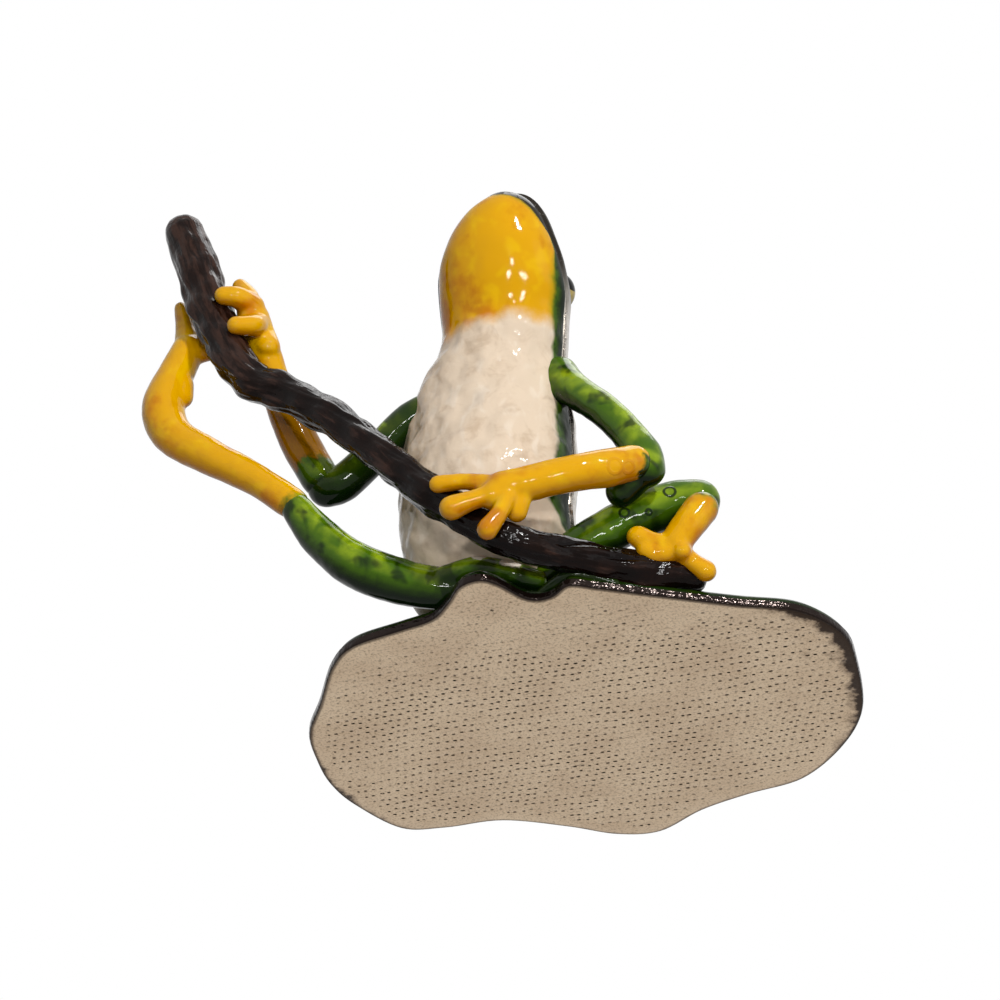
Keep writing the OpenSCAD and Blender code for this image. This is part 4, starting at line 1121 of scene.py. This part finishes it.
def veinAt(p):  # 1 on the middle of a vein's root, less towards its tip and its sides
    best = 0.0
    for (a, b), (c, d) in leaf["veins"]:
        s, e = np.array((a, b)) * leaf["half"], np.array((c, d)) * leaf["half"]
        t = float(np.clip(np.dot(np.array(p[:2]) - s, e - s) / np.dot(e - s, e - s), 0, 1))
        away = float(np.linalg.norm(s + (e - s) * t - np.array(p[:2]))) / (leaf["veinHalf"] * (1.25 - 0.6 * t))
        best = max(best, (1 - 0.5 * t) * max(0.0, 1 - away ** 2))
    return best


def enamelHeight(p):
    wave = noise.noise(Vector((p[0] / 4, p[1] / 4, 0)))
    return leaf["veinRise"] * veinAt(p) + leaf["wave"] * wave - leaf["wave"] / 2


leafTop = leaf["thick"] + leaf["glaze"]
enamelLevels = [(0.95, leafTop), (0.7, leafTop - 0.06), (0.5, leafTop - 0.3), (leaf["bead"], leaf["thick"] + 0.2),
                (leaf["bead"], leaf["thick"])]
leafGlass = platePiece("leafEnamel", enamelLevels, grid, enamelHeight)
curlLine = [(x * leaf["half"], y * leaf["half"], leafTop + z * leaf["curl"]) for x, y, z in leaf["curlLine"]]
curl = tube("curl", curlLine, [leaf["curl"] * share for share in leaf["curlShares"]], 20, 10)
leafGlass = joined("leafEnamel", [leafGlass, curl])
glassIn = inwards(leafGlass)
carry(leafGlass, "vein", lambda p: veinAt(p) if p.z > leafTop - 0.1 else 0)
carry(leafGlass, "edge", lambda p: 1 - min(1, max(0, next(glassIn)) / leaf["edgeFade"]))
dress(smoothShade(leafGlass, 60), leafPaint("leafEnamelPaint"), "frog_on_leaf", "green_enamel", "leaf_enamel")


# the hinge and the magnets keep their CAD meshes

print("hinge and magnets")
hingePaint, magnetPaint = castPaint("hingeMetalPaint", "steel"), castPaint("magnetPaint", "nickel")
for node in ("hinge_body_leaf", "hinge_lid_leaf", "hinge_pin", "body_magnet", "lid_magnet"):
    mesh = frame["nodes"][node].data
    mesh.materials.clear()
    mesh.materials.append(magnetPaint if "magnet" in node else hingePaint)
for spare in (whole, under, inside, lidRoom):  # forms that only served as tools
    bpy.data.objects.remove(spare)


# studio

def makeStudio():  # white to the camera, to mirrors and to glass, dim as a light
    world = bpy.data.worlds.new("studioWorld")
    bpy.context.scene.world = world
    sky = Paint("studioWorld", world)
    strength = sky.seen() * (1 - studio["worldLight"]) + studio["worldLight"]
    glow = sky.add("ShaderNodeBackground", None, {"Color": (1, 1, 1, 1), "Strength": strength})
    sky.add("ShaderNodeOutputWorld", None, {"Surface": glow})

    half, z = studio["floorSize"] / 2 / mm, studio["floorHeight"] / mm
    corners = [(-half, -half, z), (half, -half, z), (half, half, z), (-half, half, z)]
    floor = meshPiece("floor", corners, [[0, 1, 2, 3]])
    paint = Paint("floorPaint")
    shade = paint.noise(studio["floorPatch"], 2) * 0.02 + (studio["floorTone"] - 0.01)
    grey = paint.add("ShaderNodeCombineColor", None, {0: shade, 1: shade, 2: shade})
    matte = paint.add("ShaderNodeBsdfPrincipled", None, {"Base Color": grey, "Roughness": studio["floorRough"]})
    glow = paint.add("ShaderNodeEmission", None, {"Color": (1, 1, 1, 1), "Strength": 1.0})
    away = paint.away((0, 0, z)).step(studio["floorPaleFrom"], half)  # the floor pales into the background
    pale = paint.seen() * (away * (1 - studio["floorGlow"]) + studio["floorGlow"])
    both = paint.add("ShaderNodeMixShader", None, {0: pale, 1: matte, 2: glow})
    paint.add("ShaderNodeOutputMaterial", None, {"Surface": both})
    floor.data.materials.append(paint.material)


print("camera, lights and floor")
makeCamera()
makeLights()
makeStudio()
bpy.context.scene.view_settings.view_transform = "Standard"

print("scene ready")
